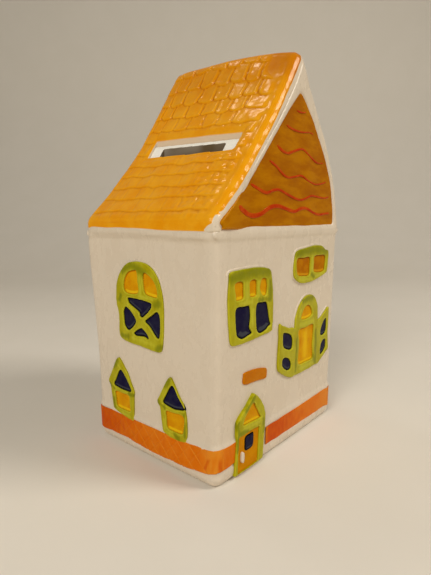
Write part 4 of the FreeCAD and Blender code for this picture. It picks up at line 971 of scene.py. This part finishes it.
# Stage: a plain pale floor that sweeps up behind the house, and three soft lamps above it.
# The camera looks at the front and left walls from a little above their middle. All sizes here are in metres.
VIEW_YAW = math.radians(49.3)
VIEW_PITCH = math.radians(8.62)
VIEW_ROLL = math.radians(-0.36)
FLOOR_HALF = 2.5
SWEEP_START = 0.55
SWEEP_ROUND = 0.5
sweep = [(-1.6, 0.0), (SWEEP_START, 0.0)]
for turn in range(10, 91, 10):
    angle = math.radians(turn)
    sweep.append((SWEEP_START + SWEEP_ROUND * math.sin(angle), SWEEP_ROUND - SWEEP_ROUND * math.cos(angle)))
sweep.append((1.05, 2.2))
away = Vector((math.sin(VIEW_YAW), math.cos(VIEW_YAW), 0))
aside = Vector((away.y, -away.x, 0))
corners = []
for far, height in sweep:
    corners += [away * far + aside * wide + Vector((0, 0, height)) for wide in (-FLOOR_HALF, FLOOR_HALF)]
floor_mesh = bpy.data.meshes.new("floor")
floor_mesh.from_pydata(corners, [], [(i, i + 1, i + 3, i + 2) for i in range(0, len(corners) - 2, 2)])
floor_mesh.polygons.foreach_set("use_smooth", [True] * len(floor_mesh.polygons))
floor = bpy.data.objects.new("floor", floor_mesh)
bpy.context.scene.collection.objects.link(floor)
paint = glaze(
    "floor_paint", body=(232, 225, 212), thin=(235, 228, 216), pooled=(228, 220, 206),
    patch=60, gloss=0.8,
)
floor_mesh.materials.append(paint)

world = bpy.data.worlds.new("studio")
bpy.context.scene.world = world
world.use_nodes = True
backdrop = world.node_tree.nodes["Background"]
backdrop.inputs["Color"].default_value = (0.80, 0.77, 0.70, 1)
backdrop.inputs["Strength"].default_value = 0.2


def lamp(name, place, aim, size, power, colour):
    """A round soft lamp that shines from place towards aim."""
    light = bpy.data.lights.new(name, "AREA")
    light.shape = "DISK"
    light.size = size
    light.energy = power
    light.color = colour
    item = bpy.data.objects.new(name, light)
    bpy.context.scene.collection.objects.link(item)
    item.location = place
    item.rotation_mode = "QUATERNION"
    item.rotation_quaternion = (Vector(aim) - Vector(place)).to_track_quat("-Z", "Y")


lamp("key", (0.42, -0.78, 0.85), (0, 0, 0.1), size=0.45, power=6.4, colour=(1, 0.94, 0.86))
lamp("fill", (-0.95, -0.28, 0.75), (0, 0, 0.1), size=0.6, power=7.2, colour=(1, 0.95, 0.88))
lamp("glint", (0.0, 0.42, 0.99), (0, 0, 0.14), size=0.12, power=0.36, colour=(1, 0.94, 0.84))

SENSOR = 36
camera_data = bpy.data.cameras.new("camera")
camera_data.lens = 438.8 * SENSOR / 575
camera_data.sensor_width = SENSOR
camera_data.clip_start = 0.01
camera = bpy.data.objects.new("camera", camera_data)
bpy.context.scene.collection.objects.link(camera)
camera.location = (-0.166, -0.140, 0.104)
flat = math.cos(VIEW_PITCH)
look = Vector((math.sin(VIEW_YAW) * flat, math.cos(VIEW_YAW) * flat, -math.sin(VIEW_PITCH)))
sideways = Vector((math.cos(VIEW_YAW), -math.sin(VIEW_YAW), 0))
right = math.cos(VIEW_ROLL) * sideways + math.sin(VIEW_ROLL) * sideways.cross(look)
camera.rotation_mode = "QUATERNION"
camera.rotation_quaternion = Matrix((right, right.cross(look), -look)).transposed().to_quaternion()
bpy.context.scene.camera = camera
bpy.context.scene.view_settings.view_transform = "Standard"
